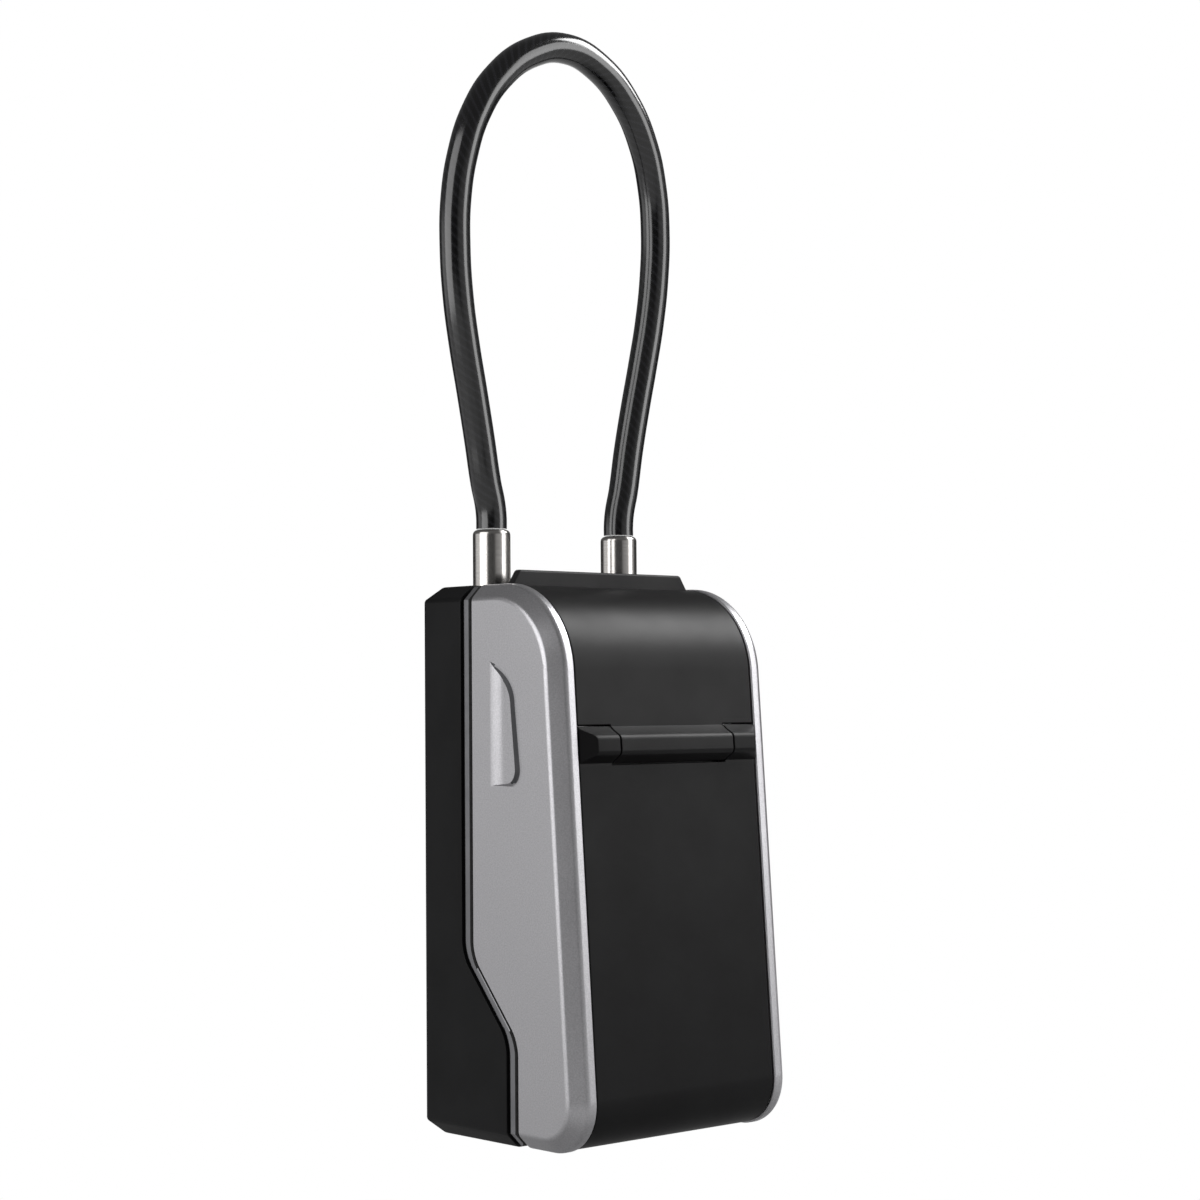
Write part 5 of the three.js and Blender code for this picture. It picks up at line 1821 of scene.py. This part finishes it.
    def _finish(self, piece: Piece) -> None:
        """Cuts the shackle's holes and the notches for the door's knuckles, and finishes the mesh.

        Args:
            piece: The jacket or the container.
        """
        x, y = FORM.leg
        hinge_y, hinge_z = FORM.hinge
        depth, height = (FORM.seam_foot - 1, hinge_y + 3.5), (-1, hinge_z + 3.5)
        for side in SIDES:
            upper = (FORM.height / 2, FORM.height + 1)
            combine(piece, rod("leg", (side * x, y), upper, self.bore, Axis.UPRIGHT), Cut.AWAY)
            combine(piece, block("notch", span(side, *self.knuckle_room), depth, height), Cut.AWAY)
        clean(piece)
        shade(piece)


# Inside of the lock


@dataclass(frozen=True)
class LockWorks:
    """The parts behind the cover and inside the door, and the ones in the case that catch them."""

    wheel_y: float = 16.3975
    wheel_radius: float = 12.9975
    digits: int = 10
    digit_height: float = 5.6
    digit_depth: float = 0.06
    # How much larger the type is set so that its figures come out at the digit's height
    type_ratio: float = 1.36

    def build(self, box: Paintbox) -> None:
        """Makes the finer copies and gives every other CAD node its finish.

        Args:
            box: The finishes.
        """
        self._wheels(box)
        finer = (
            ("door_back_plate", "door", "back_plate", box.back_plate, 0.25),
            ("release_lever", "latch", "steel", box.lever, 0.15),
            ("latch_bar", "latch", "steel", box.steel, 0.2),
            ("change_lever", "change_lever", "moulding", box.lever, 0.25),
            ("dial_bezel", "door", "steel", box.steel, 0.12),
            ("shackle_housing", "case", "zinc", box.zinc, 0.3),
            ("strike_plate", "case", "steel", box.steel, 0.2),
            ("shackle_release_tab", "shackle_bolt", "moulding", box.lever, 0.12),
            ("shackle_bolt", "shackle_bolt", "steel", box.steel, 0.2),
            ("wheel_carrier", "door", "zinc", box.zinc, 0.2),
        )
        for node, body, slot, material, width in finer:
            piece = copied(node, f"{node}_finish", width)
            paint(piece, material)
            place(piece, body, slot, node)
        dress(box.steel, "door_hinge_pin", "cover_hinge_pin", "wheel_axle", "captive_pin")
        dress(box.zinc, "fence_bar", "axle_spacer", *(f"wheel_cam_{i}" for i in range(1, 5)))
        dress(box.spring, "latch_spring_left", "latch_spring_right", "shackle_bolt_spring", "detent_spring")
        dress(box.rubber, "door_seal")
        corners = [f"{row}_{side}" for row in ("upper", "lower") for side in ("left", "right")]
        dress(box.steel, *(f"back_plate_screw_{corner}" for corner in corners))
        dress(box.steel, "strike_screw_upper", "strike_screw_lower")

    def _wheels(self, box: Paintbox) -> None:
        """Makes the four number wheels and the digits on their flats.

        Args:
            box: The finishes.
        """
        for i, x in enumerate(FORM.wheels, start=1):
            wheel = copied(f"number_wheel_{i}", f"dial_{i}", 0.2, 20)
            paint(wheel, box.wheel)
            place(wheel, f"wheel_{i}", "wheel", f"number_wheel_{i}")
            digits = self._digits(f"dial_{i}_digits", x)
            paint(digits, box.ink)
            place(digits, f"wheel_{i}", "wheel")

    def _digits(self, name: str, x: float) -> Piece:
        """Makes the digits on one wheel's flats.

        Args:
            name: Name of the new object.
            x: The wheel's place across the row.

        Returns:
            All ten digits as one piece.
        """
        step = math.tau / self.digits
        flat = self.wheel_radius * math.cos(0.39 * step)
        upright = Matrix.Rotation(math.pi / 2, 4, "X")
        out = Matrix.Translation((0, -(flat + 0.03) * MM, 0))
        shift = Matrix.Translation((x * MM, self.wheel_y * MM, 0))
        made: list[Piece] = []
        for digit in range(self.digits):
            mark = self._digit(str(digit))
            mark.data.transform(shift @ Matrix.Rotation(digit * step, 4, "X") @ out @ upright)
            made.append(mark)
        activate(made[0])
        for mark in made[1:]:
            mark.select_set(True)
        bpy.ops.object.join()
        digits = bpy.context.object
        digits.name = digits.data.name = name
        with editing(digits, Kind.FACES):
            weld(0.000001)
        return leaned(digits, ROW)

    def _digit(self, figure: str) -> Piece:
        """Sets one digit in type and makes it a mesh with its middle at the origin.

        Args:
            figure: The digit.

        Returns:
            The mesh object.
        """
        clear_bench()
        bpy.ops.object.text_add()
        text = bpy.context.object
        text.data.body = figure
        text.data.align_x = "CENTER"
        text.data.align_y = "CENTER"
        text.data.size = self.digit_height * MM * self.type_ratio
        text.data.extrude = self.digit_depth * MM
        text.data.resolution_u = 4
        activate(text)
        bpy.ops.object.convert(target="MESH")
        mark = bpy.context.object
        bpy.context.view_layer.update()
        low = Vector([min(v.co[k] for v in mark.data.vertices) for k in range(3)])
        high = Vector([max(v.co[k] for v in mark.data.vertices) for k in range(3)])
        mark.data.transform(Matrix.Translation(-(low + high) / 2))
        return mark


# Studio


@dataclass(frozen=True)
class SoftBox:
    """One soft lamp: where it stands, how large it is and how much light it gives."""

    name: str
    place: Triple
    size: Pair
    power: float

    def build(self, aim: Vector) -> None:
        """Adds the lamp and turns it to a point.

        Args:
            aim: The point that it shines at.
        """
        light = bpy.data.lights.new(self.name, "AREA")
        light.shape = "RECTANGLE"
        light.size, light.size_y = self.size
        light.energy = self.power
        lamp = bpy.data.objects.new(self.name, light)
        lamp.location = self.place
        lamp.rotation_euler = (aim - Vector(self.place)).to_track_quat("-Z", "Y").to_euler()
        bpy.context.scene.collection.objects.link(lamp)


@dataclass(frozen=True)
class Studio:
    """Camera, floor, lamps and surroundings."""

    camera_place: Triple = (-0.48518, -0.54028, 0.12260)
    yaw: float = 41.82
    pitch: float = 2.42
    roll: float = -0.44
    lens: float = 74.73
    aim: Triple = (0, 0, 0.1)
    lamps: tuple[SoftBox, ...] = (
        SoftBox("right_screen", (0.74, -0.88, 0.5), (0.55, 0.8), 4.2),
        SoftBox("left_screen", (-1.08, 0.06, 0.48), (1.0, 0.95), 6.6),
        SoftBox("high_right_screen", (0.73, -0.31, 0.87), (0.5, 0.5), 8.4),
    )
    # Light level round the box, by the angle in degrees from the camera
    panorama: tuple[Pair, ...] = (
        (-180, 1.0),
        (-172, 1.0),
        (-164, 0.05),
        (-118, 0.05),
        (-104, 0.95),
        (-84, 0.95),
        (-30, 0.3),
        (-18, 0.04),
        (18, 0.04),
        (32, 0.35),
        (60, 0.5),
        (104, 0.55),
        (118, 0.05),
        (164, 0.05),
        (172, 1.0),
        (180, 1.0),
    )
    ceiling: float = 0.14
    ceiling_start: Pair = (0.07, 0.32)
    fill: float = 0.38
    # The real box hangs, and its open door and cover reach this far below its foot
    floor_drop: float = 0.15
    # Distances in metres over which the floor turns white, and over which its shade ends
    floor_fade: Pair = (0.16, 0.7)
    floor_shade: Pair = (0.15, 0.45)
    shade_levels: Pair = (0.24, 0.52)

    def build_camera(self) -> None:
        """Adds the camera at the photograph's place."""
        yaw, pitch, roll = (math.radians(value) for value in (self.yaw, self.pitch, self.roll))
        level = math.cos(pitch)
        forward = Vector((math.sin(yaw) * level, math.cos(yaw) * level, math.sin(pitch)))
        right = Vector((math.cos(yaw), -math.sin(yaw), 0))
        up = right.cross(forward)
        sideways = math.cos(roll) * right + math.sin(roll) * up
        upward = -math.sin(roll) * right + math.cos(roll) * up
        turn = Matrix((sideways, upward, -forward)).transposed().to_4x4()
        lens = bpy.data.cameras.new("camera")
        lens.lens = self.lens
        lens.sensor_width = 36
        lens.clip_start = 0.01
        camera = bpy.data.objects.new("camera", lens)
        camera.matrix_world = Matrix.Translation(self.camera_place) @ turn
        bpy.context.scene.collection.objects.link(camera)
        bpy.context.scene.camera = camera
        bpy.context.scene.view_settings.view_transform = "Standard"

    def build_room(self) -> None:
        """Adds the floor, the lamps and the surroundings."""
        for lamp in self.lamps:
            lamp.build(Vector(self.aim))
        self._floor()
        self._surroundings()

    @staticmethod
    def _seen_plainly(tree: Tree) -> tuple[bpy.types.Node, Socket]:
        """Tells the rays apart that see the surroundings straight or through glass.

        Args:
            tree: The node tree.

        Returns:
            The node that gives 1 for such rays, and the output that gives 1 for reflections.
        """
        rays = add_node(tree, "LightPath").outputs
        plain = {0: rays["Is Camera Ray"], 1: rays["Is Transmission Ray"]}
        return add_node(tree, "Math", plain, operation="MAXIMUM"), rays["Is Glossy Ray"]

    def _floor(self) -> None:
        """Adds a pale card floor that shows white to the camera but keeps the shadow."""
        clear_bench()
        bpy.ops.mesh.primitive_plane_add(size=8, location=(0, 0, -self.floor_drop))
        floor = added("floor")
        material, tree, coords = open_tree("white_card")
        grain = add_node(tree, "TexNoise", {"Vector": coords, "Scale": per_mm(40), "Detail": 2.0})
        tone = add_node(tree, "ValToRGB", {"Fac": grain}, [(0.3, "F4F4F4"), (0.7, "F7F7F7")])
        card = add_node(tree, "BsdfDiffuse", {"Color": tone})
        direct, glossy = self._seen_plainly(tree)
        reach = add_node(tree, "VectorMath", {0: coords}, operation="LENGTH").outputs["Value"]
        # The card turns into plain white away from the box, so that no horizon shows
        near, far = self.floor_fade
        white = {"Value": reach, "From Min": near, "From Max": far, "To Min": 0.8, "To Max": 1.0}
        fade = add_node(tree, "MapRange", white, interpolation_type="SMOOTHSTEP")
        # Reflections see the box's own shade beside it, and pale floor further out
        near, far = self.floor_shade
        dark, pale = self.shade_levels
        shaded = {"Value": reach, "From Min": near, "From Max": far, "To Min": dark, "To Max": pale}
        level = add_node(tree, "MapRange", shaded, interpolation_type="SMOOTHSTEP")
        strength = add_node(tree, "Math", {0: direct, 1: level}, operation="MAXIMUM")
        glow = add_node(tree, "Emission", {"Color": WHITE, "Strength": strength})
        share = add_node(tree, "Math", {0: direct, 1: fade, 2: glossy}, operation="MULTIPLY_ADD")
        both = add_node(tree, "MixShader", {0: share, 1: card, 2: glow})
        add_node(tree, "OutputMaterial", {"Surface": both})
        paint(floor, material)

    def _surroundings(self) -> None:
        """Makes the surroundings: white behind the box, and tall screens with dark gaps to glossy rays."""
        world = bpy.data.worlds.new("studio")
        bpy.context.scene.world = world
        world.use_nodes = True
        tree = world.node_tree
        tree.nodes.clear()
        direct, glossy = self._seen_plainly(tree)
        way = add_node(tree, "TexCoord").outputs["Generated"]
        # The angle round the box is counted from the camera's side of it
        yaw = math.radians(self.yaw)
        right, nearer = (math.cos(yaw), -math.sin(yaw), 0.0), (-math.sin(yaw), -math.cos(yaw), 0.0)
        sideways, toward = (
            add_node(tree, "VectorMath", {0: way, 1: axis}, operation="DOT_PRODUCT").outputs["Value"]
            for axis in (right, nearer)
        )
        angle = add_node(tree, "Math", {0: sideways, 1: toward}, operation="ARCTAN2")
        turn = add_node(tree, "Math", {0: angle, 1: 1 / math.tau, 2: 0.5}, operation="MULTIPLY_ADD")
        stops = [(0.5 + degrees / 360, level) for degrees, level in self.panorama]
        ring = add_node(tree, "ValToRGB", {"Fac": turn}, stops)
        height = add_node(tree, "SeparateXYZ", {"Vector": way}).outputs["Z"]
        low, high = self.ceiling_start
        rise = {"Value": height, "From Min": low, "From Max": high}
        overhead = add_node(tree, "MapRange", rise, interpolation_type="SMOOTHSTEP")
        around = add_node(tree, "Mix", {0: overhead, 2: ring, 3: self.ceiling}, data_type="FLOAT")
        plain, studio, white = (
            add_node(tree, "Background", {"Color": WHITE, "Strength": strength})
            for strength in (self.fill, around, 1.0)
        )
        shiny = add_node(tree, "MixShader", {0: glossy, 1: plain, 2: studio})
        seen = add_node(tree, "MixShader", {0: direct, 1: shiny, 2: white})
        add_node(tree, "OutputWorld", {"Surface": seen})


def main() -> None:
    """Builds the lock box's looks, sub-assembly by sub-assembly."""
    logging.basicConfig(level=logging.INFO, format="%(message)s")
    studio = Studio()
    studio.build_camera()
    box = Paintbox()
    shackle = Shackle()
    shackle.build_rope(box.vinyl)
    shackle.build_legs(box.polished)
    Door().build(box.silver, box.pooled)
    panels = FrontPanels()
    panels.build_panel(box.panel, box.lip)
    panels.build_cover(box.cover)
    case = RearCase()
    case.build_jacket(box.jacket)
    case.build_container(box.cast, box.rubber)
    LockWorks().build(box)
    studio.build_room()


if __name__ == "__main__":
    main()
